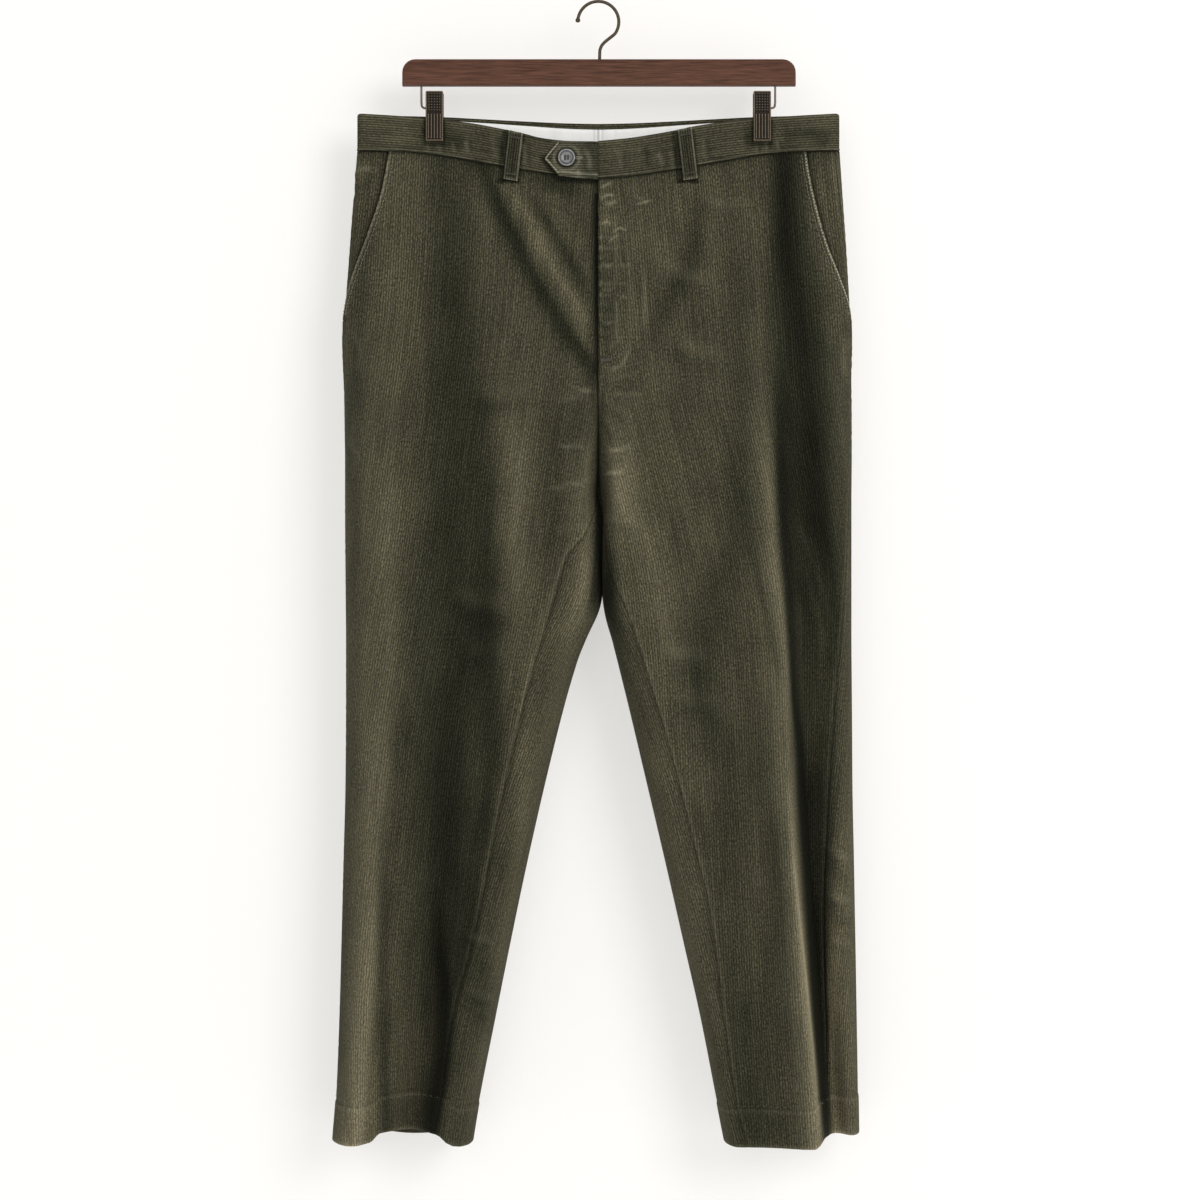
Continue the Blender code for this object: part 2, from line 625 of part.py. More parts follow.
def build_panels(corduroy):
    facing_drops = [d for d in ROWS if d <= FACING_END_DROP]
    grids, flips, labels = [], [], []
    for half in HALVES:
        for kind, row_of, drops in (
            ("front_panel", front_row, ROWS),
            ("back_panel", back_row, ROWS),
            ("pocket_facing", facing_row, facing_drops),
        ):
            grids.append(panel_grid(half, row_of, drops))
            flips.append(half == "left")
            labels.append((kind, half, drops))
    ways = offsets(grids, flips)
    for grid, way, (kind, half, drops) in zip(grids, ways, labels):
        drop = np.array(drops, float)[:, None, None]
        thick = CLOTH + (HEM_CLOTH - CLOTH) * step_up(1084, 1098, drop)
        outer = grid + (front_lift(half, grid, drops) * way if kind == "front_panel" else 0.0)
        if kind == "pocket_facing":
            deeper = 1 + step_up(280, POCKET_END_DROP, drop)
            outer = outer - deeper * np.array(FACING_SINK)[None, :, None] * way
        inner = outer - thick * way
        edges = ("first_column", "last_column", "first_row")
        if kind == "pocket_facing":
            wall(f"{kind}_{half}", inset(outer, edges), inset(inner, edges), corduroy)
            continue
        cut = drops.index(FORK_DROP)
        upper, lower = slice(None, cut + 1), slice(cut, None)
        for part, rows, sides in (("", upper, edges + ("last_row",)), ("_lower", lower, edges)):
            wall(
                f"{kind}_{half}{part}", inset(outer[rows], sides), inset(inner[rows], sides),
                corduroy,
            )


def front_strip(outs, drops, level):
    """A grid over the front faces: outs below 0 on the left half, at nominal drops."""
    rows = []
    for drop in drops:
        row = []
        for out in outs:
            half = "left" if out < 0 else "right"
            depth = run_depth(half, "front", np.array([abs(float(out))]), drop)
            row.append(placed(half, np.stack([[abs(out)], depth], 1), drop)[0])
        rows.append(row)
    grid = np.array(rows)
    way = offsets([grid], [True])[0]
    return grid + level * way, way


def build_fly(corduroy, tape):
    drops = [d for d in ROWS if 149 < d <= FLY_END_DROP]
    under_left = CLOTH + 0.3 + CLOTH + 3 * LAYER_GAP
    shield, way = front_strip((-18, -9, -1, 1, 12, FLY_SHIELD_WIDTH - 18), drops, -under_left)
    wall("fly_shield", shield, shield - CLOTH * way, corduroy)
    zip_level = -(CLOTH + 3 * LAYER_GAP)
    outer, way = front_strip((5, 14, ZIP_WIDTH - 4), drops[:-2], zip_level)
    wall("fly_zip", outer, outer - 0.9 * way, tape)


# ---------------------------------------------------------------- the waistband
def band_row(half, face, outs):
    depth = waist(face + "_depth", outs) * rolled(241.0 - outs, WAIST_ROUND)
    if half == "left" and face == "front":
        under_tab = TAB_THICK + LAYER_GAP
        depth = depth - under_tab * (1 - step_up(TAB_TIP_OUT + 4, TAB_TIP_OUT + 28, outs))
    return depth


def band_top(half, face, outs):
    if face == "back":
        return waist("back_top", outs)
    return line(FRONT_TOP, outs, 1 if half == "left" else 2)


def band_grid(half, face, outs, rows=3):
    depth = band_row(half, face, outs)
    top = band_top(half, face, outs)
    bottom = waist(face + "_seam", outs) - SEAM_HALF_GAP
    sign = -1 if face == "front" else 1
    return np.array([
        np.stack([HALVES[half] * outs, sign * depth, -(top + (bottom - top) * k / (rows - 1))], 1)
        for k in range(rows)
    ])


def build_waistband(corduroy, lining):
    turn = np.linspace(0, math.pi / 2, 5)
    edge = 241.0 - WAIST_ROUND * (1 - np.cos(turn))
    outs = np.concatenate([edge, np.linspace(221, 0, 17)])
    left, right = (band_grid(half, "front", outs) for half in ("left", "right"))
    back_left, back_right = (band_grid(half, "back", outs) for half in ("left", "right"))
    back = np.concatenate([back_left, back_right[:, ::-1][:, 1:]], axis=1)
    ways = offsets([left, right, back], [True, False, False])
    edges = ("first_column", "last_column")
    for name, grid, way in (("left", left, ways[0]), ("right", right, ways[1])):
        inner = grid - BAND_THICK * way
        wall("waistband_front_" + name, inset(grid, edges), inset(inner, edges), corduroy)
    inner = back - BAND_THICK * ways[2]
    wall("waistband_back", inset(back, edges), inset(inner, edges), corduroy)
    strip = slice(6, -6)
    cover = (back - (BAND_THICK + LAYER_GAP) * ways[2])[:, strip]
    cover = np.stack([cover[0], cover[1], cover[2]])
    cover[:, :, 2] = cover[0, :, 2] - np.array([[5.0], [28.0], [51.0]])
    wall("waistband_lining", cover, cover - 0.7 * ways[2][:, strip], lining)


def build_tab(corduroy):
    outs = np.array([SEAM_HALF_GAP, 10, 20, 30, TAB_SHOULDER_OUT, 46, TAB_TIP_OUT - 1.5, TAB_TIP_OUT])
    top = line(FRONT_TOP, outs, 1) + 0.2
    bottom = waist("front_seam", outs)
    point = np.clip((outs - TAB_SHOULDER_OUT) / (TAB_TIP_OUT - TAB_SHOULDER_OUT), 0, 1)
    middle = 158.0
    top = top + (middle - 1.2 - top) * point
    bottom = bottom + (middle + 1.2 - bottom) * point
    depth = waist("front_depth", outs)
    grid = np.array([np.stack([-outs, -depth, -(top + (bottom - top) * k / 4)], 1) for k in range(5)])
    way = offsets([grid], [False])[0]
    wall("waistband_tab", grid, grid - TAB_THICK * way, corduroy)


# name: half, face, distance out at the top, distance out at the bottom
BELT_LOOPS = {
    "belt_loop_front_left": ("left", "front", 82.0, 87.5),
    "belt_loop_front_right": ("right", "front", 86.0, 92.0),
    "belt_loop_back_left": ("left", "back", 118.0, 119.0),
    "belt_loop_back_right": ("right", "back", 118.0, 119.0),
}


def loop_wall(name, centre_top, centre_bottom, face, corduroy):
    """A belt loop over the waistband; centres are signed positions along X."""
    half_width = LOOP_WIDTH / 2
    sign = -1 if face == "front" else 1
    rows = []
    for share in (0.0, 0.12, 0.4, 0.7, 0.88, 1.0):
        centre = centre_top + (centre_bottom - centre_top) * share
        xs = centre + np.array([-half_width, 0.0, half_width])
        outs = np.abs(xs)
        half = "left" if centre < 0 else "right"
        top = band_top(half, face, outs) - 0.4
        bottom = waist(face + "_seam", outs) + LOOP_TAIL
        ends = 0.5 if 0.1 < share < 0.9 else 0.0
        depth = waist(face + "_depth", outs) + LAYER_GAP + ends + LOOP_THICK
        rows.append(np.stack([xs, sign * depth, -(top + (bottom - top) * share)], 1))
    grid = np.array(rows)
    way = offsets([grid], [face == "front"])[0]
    wall(name, grid, grid - LOOP_THICK * way, corduroy)


def build_belt_loops(corduroy):
    for name, (half, face, top, bottom) in BELT_LOOPS.items():
        loop_wall(name, HALVES[half] * top, HALVES[half] * bottom, face, corduroy)
    loop_wall("belt_loop_back_centre", 0.0, 0.0, "back", corduroy)


def build_button(horn):
    """A turned disc with a raised rim and a dished middle, its axis along Y."""
    radius = BUTTON_DIAMETER / 2
    profile = (
        (0.0, 1.6), (3.4, 1.7), (4.3, 2.3), (5.2, 3.2), (6.8, BUTTON_THICK), (8.1, 3.0),
        (radius, 1.9), (8.3, 0.5), (6.9, 0.0), (0.0, 0.0),
    )
    seat = float(waist("front_depth", BUTTON_OUT - radius)) + 0.3
    lathe("waist_button", profile, (-BUTTON_OUT, -seat, -BUTTON_DROP), 28, horn)


# ---------------------------------------------------------------- turned and swept pieces
def lathe(name, profile, place, segments, material):
    """A profile of radius and height turned about an axis that runs out to -Y."""
    rings = []
    points = []
    for radius, height in profile:
        if radius == 0:
            rings.append([len(points)] * segments)
            points.append((0.0, -height, 0.0))
            continue
        rings.append(list(range(len(points), len(points) + segments)))
        for k in range(segments):
            angle = 2 * math.pi * k / segments
            points.append((radius * math.cos(angle), -height, radius * math.sin(angle)))
    faces = []
    for a, b in zip(rings, rings[1:]):
        for k in range(segments):
            j = (k + 1) % segments
            corners = [a[k], a[j], b[j], b[k]]
            faces.append(tuple(dict.fromkeys(corners)))
    points = [tuple(p[i] + place[i] for i in range(3)) for p in points]
    return solid(name, points, faces, material)


def sweep(name, path, radii, sides, material):
    """A round rod along a path in the plane y = 0: path points are x and drop."""
    path = np.array(path, float)
    along = np.gradient(path, axis=0)
    along /= np.linalg.norm(along, axis=1)[:, None]
    points, faces = [], []
    for (x, drop), (ax, ad), radius in zip(path, along, radii):
        for k in range(sides):
            angle = 2 * math.pi * k / sides
            across = radius * math.cos(angle)
            points.append((x + across * ad, radius * math.sin(angle), -(drop - across * ax)))
    for ring in range(len(path) - 1):
        for k in range(sides):
            j = (k + 1) % sides
            a, b = ring * sides, (ring + 1) * sides
            faces.append((a + k, a + j, b + j, b + k))
    faces.append(tuple(range(sides))[::-1])
    last = (len(path) - 1) * sides
    faces.append(tuple(last + k for k in range(sides)))
    return solid(name, points, faces, material)


def block(name, low, high, material, bevel=0.8, segments=2):
    """A box with rounded edges between two corners, in millimetres."""
    mesh = bpy.data.meshes.new(name)
    bm = bmesh.new()
    bmesh.ops.create_cube(bm, size=1.0)
    low, high = Vector(low) * MM, Vector(high) * MM
    for vertex in bm.verts:
        vertex.co = Vector(
            low[i] + (vertex.co[i] + 0.5) * (high[i] - low[i]) for i in range(3)
        )
    bmesh.ops.bevel(
        bm, geom=bm.edges[:], offset=bevel * MM, segments=segments, affect="EDGES", profile=0.5
    )
    bmesh.ops.triangulate(bm, faces=bm.faces[:])
    bm.to_mesh(mesh)
    bm.free()
    mesh.materials.append(material)
    thing = bpy.data.objects.new(name, mesh)
    bpy.context.collection.objects.link(thing)
    return thing


# ---------------------------------------------------------------- the hanger
def build_bar(wood):
    """The bar: an outline with big round top corners, its long edges eased."""
    half = BAR_LENGTH / 2
    corner = BAR_CORNER
    outline = [(half, BAR_BOTTOM_DROP), (-half, BAR_BOTTOM_DROP)]
    for k in range(7):
        angle = math.pi / 2 * k / 6
        outline.append((
            -half + corner - corner * math.cos(angle),
            BAR_TOP_DROP + corner - corner * math.sin(angle),
        ))
    for k in range(7):
        angle = math.pi / 2 * (1 - k / 6)
        outline.append((
            half - corner + corner * math.cos(angle),
            BAR_TOP_DROP + corner - corner * math.sin(angle),
        ))
    ease = 2.0
    rings = []
    for depth, shrink in (
        (-BAR_THICK / 2, ease), (-BAR_THICK / 2 + ease * 0.3, ease * 0.3), (-BAR_THICK / 2 + ease, 0.0),
        (BAR_THICK / 2 - ease, 0.0), (BAR_THICK / 2 - ease * 0.3, ease * 0.3), (BAR_THICK / 2, ease),
    ):
        middle = (BAR_TOP_DROP + BAR_BOTTOM_DROP) / 2
        tall = (BAR_BOTTOM_DROP - BAR_TOP_DROP) / 2
        rings.append([
            (BAR_CENTRE_X + x * (half - shrink) / half, depth,
             -(middle + (drop - middle) * (tall - shrink) / tall))
            for x, drop in outline
        ])
    count = len(outline)
    points = [p for ring in rings for p in ring]
    faces = [tuple(range(count))]
    for ring in range(len(rings) - 1):
        for k in range(count):
            j = (k + 1) % count
            a, b = ring * count, (ring + 1) * count
            faces.append((a + k, b + k, b + j, a + j))
    faces.append(tuple((len(rings) - 1) * count + k for k in range(count))[::-1])
    return solid("hanger_bar", points, faces, wood)


def build_hook(bronze):
    """The hook's wire: a ball end, three quarters of a circle and a bent neck into the bar."""
    centre_drop = HOOK_RADIUS - HOOK_WIRE / 2
    path = []
    for k in range(23):
        angle = math.radians(166 - k * 200 / 22)
        path.append((HOOK_RADIUS * math.cos(angle), centre_drop - HOOK_RADIUS * math.sin(angle)))
    path += [(11.2, 35.3), (6.0, 39.6), (2.9, 43.6), (1.5, 48.5), (1.3, BAR_TOP_DROP - 0.3)]
    start = math.radians(166)
    lead = []
    for back, _ in ((5.6, 0), (4.9, 0), (3.6, 0), (2.2, 0), (1.2, 0)):
        angle = start + back / HOOK_RADIUS
        lead.append((HOOK_RADIUS * math.cos(angle), centre_drop - HOOK_RADIUS * math.sin(angle)))
    radii = [1.0, 1.9, 2.5, 2.2, 1.75] + [HOOK_WIRE / 2] * len(path)
    sweep("hanger_hook", lead + path, radii, 12, bronze)


def build_clip(side, bronze):
    """One clip: a ribbed front jaw, a plain back jaw, the pin between them and its wire."""
    sign = HALVES[side]
    centre = sign * CLIP_OUT
    front = float(waist("front_depth", CLIP_OUT - CLIP_WIDTH / 2)) + 0.4
    back = float(waist("back_depth", CLIP_OUT - CLIP_WIDTH / 2)) + 0.4
    half_width = CLIP_WIDTH / 2
    ribs, rib_high = 4, 0.9
    xs, heights = [-half_width, -half_width + 1.2], [0, 0]
    pitch = (CLIP_WIDTH - 3.6) / ribs
    for k in range(ribs):
        start = -half_width + 1.8 + k * pitch
        xs += [start, start + 0.5, start + pitch - 1.1, start + pitch - 0.6]
        heights += [0, rib_high, rib_high, 0]
    xs += [half_width - 1.2, half_width]
    heights += [0, 0]
    drops = (CLIP_TOP_DROP, 108.0, 109.0, 136.0, 137.0, CLIP_BOTTOM_DROP)
    raised = (0, 0, 1, 1, 0, 0)
    outer = np.array([
        [(centre + x, -(front + CLIP_THICK + h * up), -drop) for x, h in zip(xs, heights)]
        for drop, up in zip(drops, raised)
    ])
    inner = outer.copy()
    inner[:, :, 1] = -front
    wall("clip_jaw_front_" + side, outer, inner, bronze)
    block(
        "clip_jaw_back_" + side,
        (centre - half_width, back, -CLIP_BOTTOM_DROP),
        (centre + half_width, back + CLIP_THICK, -CLIP_TOP_DROP), bronze,
    )
    block(
        "clip_pin_" + side,
        (centre - half_width + 0.6, -(front - 0.3), -110.0),
        (centre + half_width - 0.6, back - 0.3, -100.0), bronze, 2.0, 2,
    )
    wire = sign * CLIP_WIRE_OUT
    bend = [(wire, BAR_BOTTOM_DROP + 0.3), (wire, 92.0), (wire, 99.0)]
    for k in range(1, 5):
        angle = math.pi / 2 * k / 4
        bend.append((
            wire - sign * 3.6 * (1 - math.cos(angle)), 101.6 + 3.6 * math.sin(angle),
        ))
    bend.append((sign * (CLIP_OUT + half_width - 0.3), 105.2))
    sweep("clip_wire_" + side, bend, [CLIP_WIRE / 2] * len(bend), 8, bronze)


# ---------------------------------------------------------------- everything
def clear_scene():
    for thing in list(bpy.data.objects):
        bpy.data.objects.remove(thing, do_unlink=True)


def main():
    clear_scene()
    corduroy = paint("corduroy", (0.058, 0.056, 0.038), 0.95)
    lining = paint("lining", (0.80, 0.80, 0.77), 0.8)
    tape = paint("zip tape", (0.05, 0.05, 0.035), 0.8)
    horn = paint("horn", (0.07, 0.07, 0.068), 0.35)
    wood = paint("stained wood", (0.075, 0.033, 0.022), 0.4)
    bronze = paint("bronzed steel", (0.055, 0.042, 0.033), 0.42, 0.9)
    build_panels(corduroy)
    build_fly(corduroy, tape)
    build_waistband(corduroy, lining)
    build_tab(corduroy)
    build_belt_loops(corduroy)
    build_button(horn)
    build_bar(wood)
    build_hook(bronze)
    for side in HALVES:
        build_clip(side, bronze)


main()
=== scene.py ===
# %% [markdown]
# # Corduroy trousers on a clip hanger
# This lesson dresses a imported CAD model of olive corduroy trousers that hang by the waistband from
# a bar hanger. The CAD solids fix every size and place; here each cut piece becomes a thin shell of
# cloth on the same form. A cloth simulation could hang the panels too, but pressed trousers keep
# folds that a maker can name, so they are listed one by one in short tables.
#
# Sizes are in millimetres until a mesh is made. "drop" is a distance below the origin (the inside
# top of the hook), "out" a distance from the middle plane, "left" is the -X side.

# %% Load the frame
import functools
import math

import bmesh
import bpy
import numpy as np
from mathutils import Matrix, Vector
from mathutils.bvhtree import BVHTree


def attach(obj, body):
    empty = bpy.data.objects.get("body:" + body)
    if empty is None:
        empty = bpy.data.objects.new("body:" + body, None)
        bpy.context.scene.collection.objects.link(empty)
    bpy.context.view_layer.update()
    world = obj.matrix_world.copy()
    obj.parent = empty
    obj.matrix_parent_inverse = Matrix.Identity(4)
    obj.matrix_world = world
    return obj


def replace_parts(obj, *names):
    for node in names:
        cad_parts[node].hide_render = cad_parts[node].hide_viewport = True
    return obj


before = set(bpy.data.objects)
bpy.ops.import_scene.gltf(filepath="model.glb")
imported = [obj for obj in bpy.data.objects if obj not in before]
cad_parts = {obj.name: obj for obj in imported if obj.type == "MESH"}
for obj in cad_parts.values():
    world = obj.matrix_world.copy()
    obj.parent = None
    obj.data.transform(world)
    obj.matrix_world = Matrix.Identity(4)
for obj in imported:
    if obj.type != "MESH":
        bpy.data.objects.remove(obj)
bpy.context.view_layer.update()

MM = 0.001

# %% [markdown]
# ## Camera, wall, floor and light
# The trousers are seen square from the front, so a long lens stands 3 m away and takes in 1.2 m. A
# pale wall close behind catches their soft shadow; it is see-through from behind, so that the back
# can be looked at too. One large lamp at the upper right shapes the folds, weak ones fill the rest.

# %% Camera
VIEW_CENTRE = (0.0017, -0.597)  # across and up
VIEW_DISTANCE = 3.0
LENS_MM = 90.0  # with a 36 mm sensor the view is 1.2 m wide at the trousers

camera_data = bpy.data.cameras.new("camera")
camera_data.lens = LENS_MM
camera_data.sensor_width = 36.0
camera = bpy.data.objects.new("camera", camera_data)
camera.location = (VIEW_CENTRE[0], -VIEW_DISTANCE, VIEW_CENTRE[1])
camera.rotation_euler = (math.radians(90), 0, 0)
bpy.context.scene.collection.objects.link(camera)
bpy.context.scene.camera = camera
bpy.context.scene.view_settings.view_transform = "Standard"
print("camera at", tuple(camera.location))


# %% Node helpers
def node(tree, kind, inputs=None, **settings):
    """A node with its settings, and its inputs set to values or linked to sockets."""
    made = tree.nodes.new("ShaderNode" + kind)
    for name, value in settings.items():
        setattr(made, name, value)
    for socket, value in (inputs or {}).items():
        if isinstance(value, bpy.types.NodeSocket):
            tree.links.new(value, made.inputs[socket])
        else:
            made.inputs[socket].default_value = value
    made.location = (190 * len(tree.nodes), 0)
    return made


def preset(shader, **values):
    """Sets a shader's inputs by name, with _ for a space."""
    for name, value in values.items():
        shader.inputs[name.replace("_", " ")].default_value = value


# %% Wall and floor
WALL_DEPTH = 0.064
FLOOR_HEIGHT = -1.33
PAPER = (0.93, 0.917, 0.899, 1.0)


def add_mesh(name, points, faces, *materials):
    """A new mesh in the scene, from points in metres."""
    mesh = bpy.data.meshes.new(name)
    mesh.from_pydata(points, [], faces)
    for material in materials:
        mesh.materials.append(material)
    thing = bpy.data.objects.new(name, mesh)
    bpy.context.scene.collection.objects.link(thing)
    return thing


wall_paint = bpy.data.materials.new("wall_paint")
wall_paint.use_nodes = True
tree = wall_paint.node_tree
shader = tree.nodes["Principled BSDF"]
preset(shader, Base_Color=(0.41, 0.404, 0.396, 1.0), Roughness=0.95, Specular_IOR_Level=0.1,
       Emission_Color=(1.0, 0.985, 0.965, 1.0), Emission_Strength=0.54)  # keeps shadows pale
behind = node(tree, "NewGeometry").outputs["Backfacing"]
shadow_ray = node(tree, "LightPath").outputs["Is Shadow Ray"]
open_side = node(tree, "Math", {0: behind, 1: shadow_ray}, operation="MAXIMUM")
clear = node(tree, "BsdfTransparent")
mixed = node(tree, "MixShader", {0: open_side.outputs[0], 1: shader.outputs[0], 2: clear.outputs[0]})
tree.links.new(mixed.outputs[0], tree.nodes["Material Output"].inputs["Surface"])

floor_paint = bpy.data.materials.new("floor_paint")
floor_paint.use_nodes = True
preset(floor_paint.node_tree.nodes["Principled BSDF"], Base_Color=PAPER, Roughness=0.9)

add_mesh("wall", [
    (x, WALL_DEPTH, z) for x, z in ((-3, FLOOR_HEIGHT), (3, FLOOR_HEIGHT), (3, 1.6), (-3, 1.6))
], [(0, 1, 2, 3)], wall_paint)
add_mesh("floor", [
    (x, y, FLOOR_HEIGHT) for x, y in ((-4, -4), (4, -4), (4, 4), (-4, 4))
], [(0, 1, 2, 3)], floor_paint)
print("wall and floor made")


# %% Lamps
def lamp(name, place, aim, size, watts, colour=(1.0, 1.0, 1.0)):
    data = bpy.data.lights.new(name, "AREA")
    data.shape = "SQUARE"
    data.size = size
    data.energy = watts
    data.color = colour
    thing = bpy.data.objects.new(name, data)
    thing.location = place
    thing.rotation_euler = (Vector(aim) - Vector(place)).to_track_quat("-Z", "Y").to_euler()
    bpy.context.scene.collection.objects.link(thing)
    return thing


MIDDLE = (0.0, 0.0, -0.55)
lamp("key_lamp", (2.2, -3.8, 0.9), MIDDLE, 2.0, 100, (1.0, 0.985, 0.96))
lamp("front_lamp", (-0.8, -4.4, 0.2), MIDDLE, 1.8, 22)
lamp("back_lamp", (-0.3, 2.6, 0.5), MIDDLE, 1.8, 52)
world = bpy.data.worlds.new("studio")
world.use_nodes = True
preset(world.node_tree.nodes["Background"], Color=(1.0, 0.995, 0.985, 1.0), Strength=0.64)
bpy.context.scene.world = world

# %% [markdown]
# ## The form, from the same tables as the CAD
# The cloth has to follow its solid closely, so the same tables shape both: an outline for each
# height, folds as lines with a height and a reach to each side, and seams as lines that run down.
# Tables keep each fold editable by name, which a sculpted surface would not.

# %% Tables as text
def table(text):
    """Named tables, as in "name: 1 2 3, 4 5 6; next name: 7 8 9", each as a list of rows.

    A row of 3 or 4 numbers takes the numbers it lacks from the row before it."""
    tables = {}
    for entry in text.split(";"):
        name, rows = entry.split(":")
        tables[name.strip()] = found = []
        for row in rows.split(","):
            row = [float(v) for v in row.split()]
            found.append(row + found[-1][len(row):] if found and len(row) in (3, 4) else row)
    return tables


def columns(text):
    """A table with a heading line, as one array a column."""
    heading, *rows = text.strip().splitlines()
    return dict(zip(heading.split(), np.array([row.split() for row in rows], float).T))


# %% Sizes
CLOTH = 1.4  # one layer of corduroy
HEM_CLOTH = 2.5  # the turned-up hem, two layers
BAND_THICK = 2.9  # the waistband: two layers and its stiffening
BAND_PROUD = 0.8  # how far the waistband stands out past the panels under it
SEAM_HALF_GAP = 0.15
LAYER_GAP = 0.4  # between cloth layers that lie on each other
INSEAM_LEAVES = 0.9  # millimetres of wrap for each millimetre below the fork
CROTCH_BEND = 5.0  # how far the meeting inner faces of the legs bow sideways
POCKET_UNDERLAP = 12.0  # the pocket facing's width under the front panel
POCKET_GAP = 0.8  # between the front panel's slanted edge and the facing under it
FACING_SINK = (0.0, 0.2, 0.4, 0.9, 2.2)  # how far each of the facing's columns is sunk, seam first
FORK_DROP = 486.0  # where the four panels meet, and where each one's solid is in two
LEVEL_DROP = 240.0  # rows are level below this
HEM_LEVEL_DROP = 1085.0  # and above this
FIRST_ROW, LAST_ROW = 149, 1136
POCKET_END_DROP = 318
FACING_END_DROP = 331
FLY_END_DROP = 372
HALVES = {"left": -1.0, "right": 1.0}
print("legs run from", FIRST_ROW, "to", LAST_ROW, "mm below the hook")


# %% Outline by height
# side: half the width. inner: the leg's inner edge. front, back: fullness. round_*: how wide
# the cloth rolls round at an edge. mid_*: depth of the seam line above the fork, of the leg's
# inner edge below it.
SECTIONS = columns("""
drop side_left side_right inner_left inner_right front back round_side round_inner mid_front mid_back
149 241 241 0 0 26 33 12 8 26 33
200 245 244.5 0 0 28 36 15 8 28 36
260 249.5 248.5 0 0 31 40 20 8 31 40
320 253.5 251.5 0 0 34 43 24 9 34 43
372 254 252.5 0 0 36 45 26 11 33 45
420 253.5 253 0 0 37 46 26 13 26 42
455 253 253 0 0 38 46 26 16 16 32
478 253 253 0 0 38 45 26 18 4 14
486 253 253 0 0 38 45 26 18 -4 4
500 253 253 .8 .8 38 44 26 19 -4 4
575 252.5 253 .8 .8 38 41 26 20 -3 3
600 252.3 253 4 4 37 40 26 21 -2 2
633 252 253 13.3 12.7 37 38 26 22 0 0
697 252 253.5 32.3 28.7 36 36 26 22 0 0
777 252.5 254 52.3 47.7 36 35 26 21 0 0
857 254.5 255.5 70.5 66.5 37 34 26 20 0 0
937 256.5 257 87.3 84.7 38 34 25 18 0 0
1017 258.7 258.3 103.3 102.7 40 34 24 16 0 0
1097 262 259.5 119 118.3 42 35 22 14 0 0
1136 265 260 125.5 126 43 36 20 13 0 0""")
print("outline rows:", len(SECTIONS["drop"]))


# %% Big folds of the front
# Rows of drop, out, height (below 0 for a trough), reach outward, reach inward.
FRONT_FOLDS = {
    "left": table("""
outer lobe: 165 197 0 26 20, 230 196 3, 300 200 4 26 18, 360 208 6 26 17, 600 208 7 26 15, 747 211 9 24 12,
847 218 10 22 10, 970 226 11 20, 1100 236 12 18 9, 1137 238 12;
trough: 175 150 0 38 30, 240 146 -4 40 32, 400 142 -5 42 36, 500 133 -7 40, 625 124 -10 42 30,
720 143 -14 36 32, 800 150 -17 34, 880 160 -21 32, 960 168 -25 30 30, 1040 175 -31 28 27,
1100 182 -36 27 26, 1137 186 -38 27 25;
inner ridge: 185 110 0 22 30, 240 108 4 20, 350 92 5 22 26, 470 80 6 24 24, 600 76 6, 720 70 5 24 22,
830 92 4 22 20, 920 110 0;
inner valley: 400 52 0 16 14, 450 50 -4, 560 50 -4, 620 56 0;
tab drag: 182 96 0 12 10, 205 90 -5 13, 260 79 -7 15 9, 300 60 -6 15 8, 350 29 -4 13, 378 6 0 10 6;
tab ridge: 182 72 0 10 10, 212 67 4 10 9, 257 50 5, 297 27 4 10 8, 345 11 2 8 6, 370 4 0;
tab second drag: 182 52 0 8 8, 212 48 -3 9, 257 32 -3, 300 12 0 8"""),
    "right": table("""
inner bulge: 380 26 0 22 16, 430 28 4 24, 500 34 5 26 18, 560 50 5 28 20, 660 70 5 28 24, 800 96 4 30,
950 118 0;
middle hollow: 420 118 0 34 34, 560 122 -4, 760 136 -6 30, 900 150 -5 26, 1040 170 -3 24 30, 1137 180 -2 20;
outer ridge: 165 156 0 12 40, 220 156 4, 350 157 6 11, 450 163 8 10, 550 171 10 9 42, 650 182 13 9 44,
750 185 15 9 46, 850 190 17, 950 197 18, 1050 206 19 9 44, 1110 213 19 8, 1137 215 19;
outer trough: 165 188 0 26 18, 220 188 -6 26 17, 350 192 -8 24, 450 198 -11 22 16, 550 204 -14 20 15,
650 207 -18 20 14, 750 207 -22 20 13, 850 212 -26 20 12, 950 218 -29 18 11, 1050 227 -32 16,
1137 236 -33 15;
rolled slant: 500 184 0 8 8, 540 196 4, 600 216 4 9, 660 234 0;
fly drag: 185 92 0 12 12, 210 90 -3, 297 70 -3 14, 347 42 0 12"""),
}
print("front folds:", {half: len(rows) for half, rows in FRONT_FOLDS.items()})


# %% Big folds of the back
BACK_FOLDS = {
    "left": table("""
seat fold: 330 40 0 18 20, 420 52 -5 20, 560 74 -6 22 22, 700 92 0;
side ridge: 200 186 0 28 30, 320 192 4, 620 194 7 26 28, 900 214 8 22 26, 1137 228 8 20 24;
long hollow: 420 146 0 30 30, 620 142 -6 32 32, 860 164 -10 30 30, 1137 190 -14 24 26;
under-seat ridge: 460 108 0 22 22, 560 106 5, 760 112 4, 900 128 0"""),
    "right": table("""
seat fold: 320 34 0 18 18, 400 48 -4 20 20, 540 66 -6 22 22, 680 80 0;
side ridge: 220 178 0 30 34, 340 184 5 28 32, 640 200 8 22 30, 900 206 9, 1137 222 8 18 26;
long hollow: 400 136 0 30 30, 600 140 -5 32 32, 840 150 -9 30 30, 1137 180 -12 24 26;
under-seat ridge: 470 96 0 22 22, 580 98 5, 780 104 5, 920 124 0"""),
}
print("back folds:", {half: len(rows) for half, rows in BACK_FOLDS.items()})


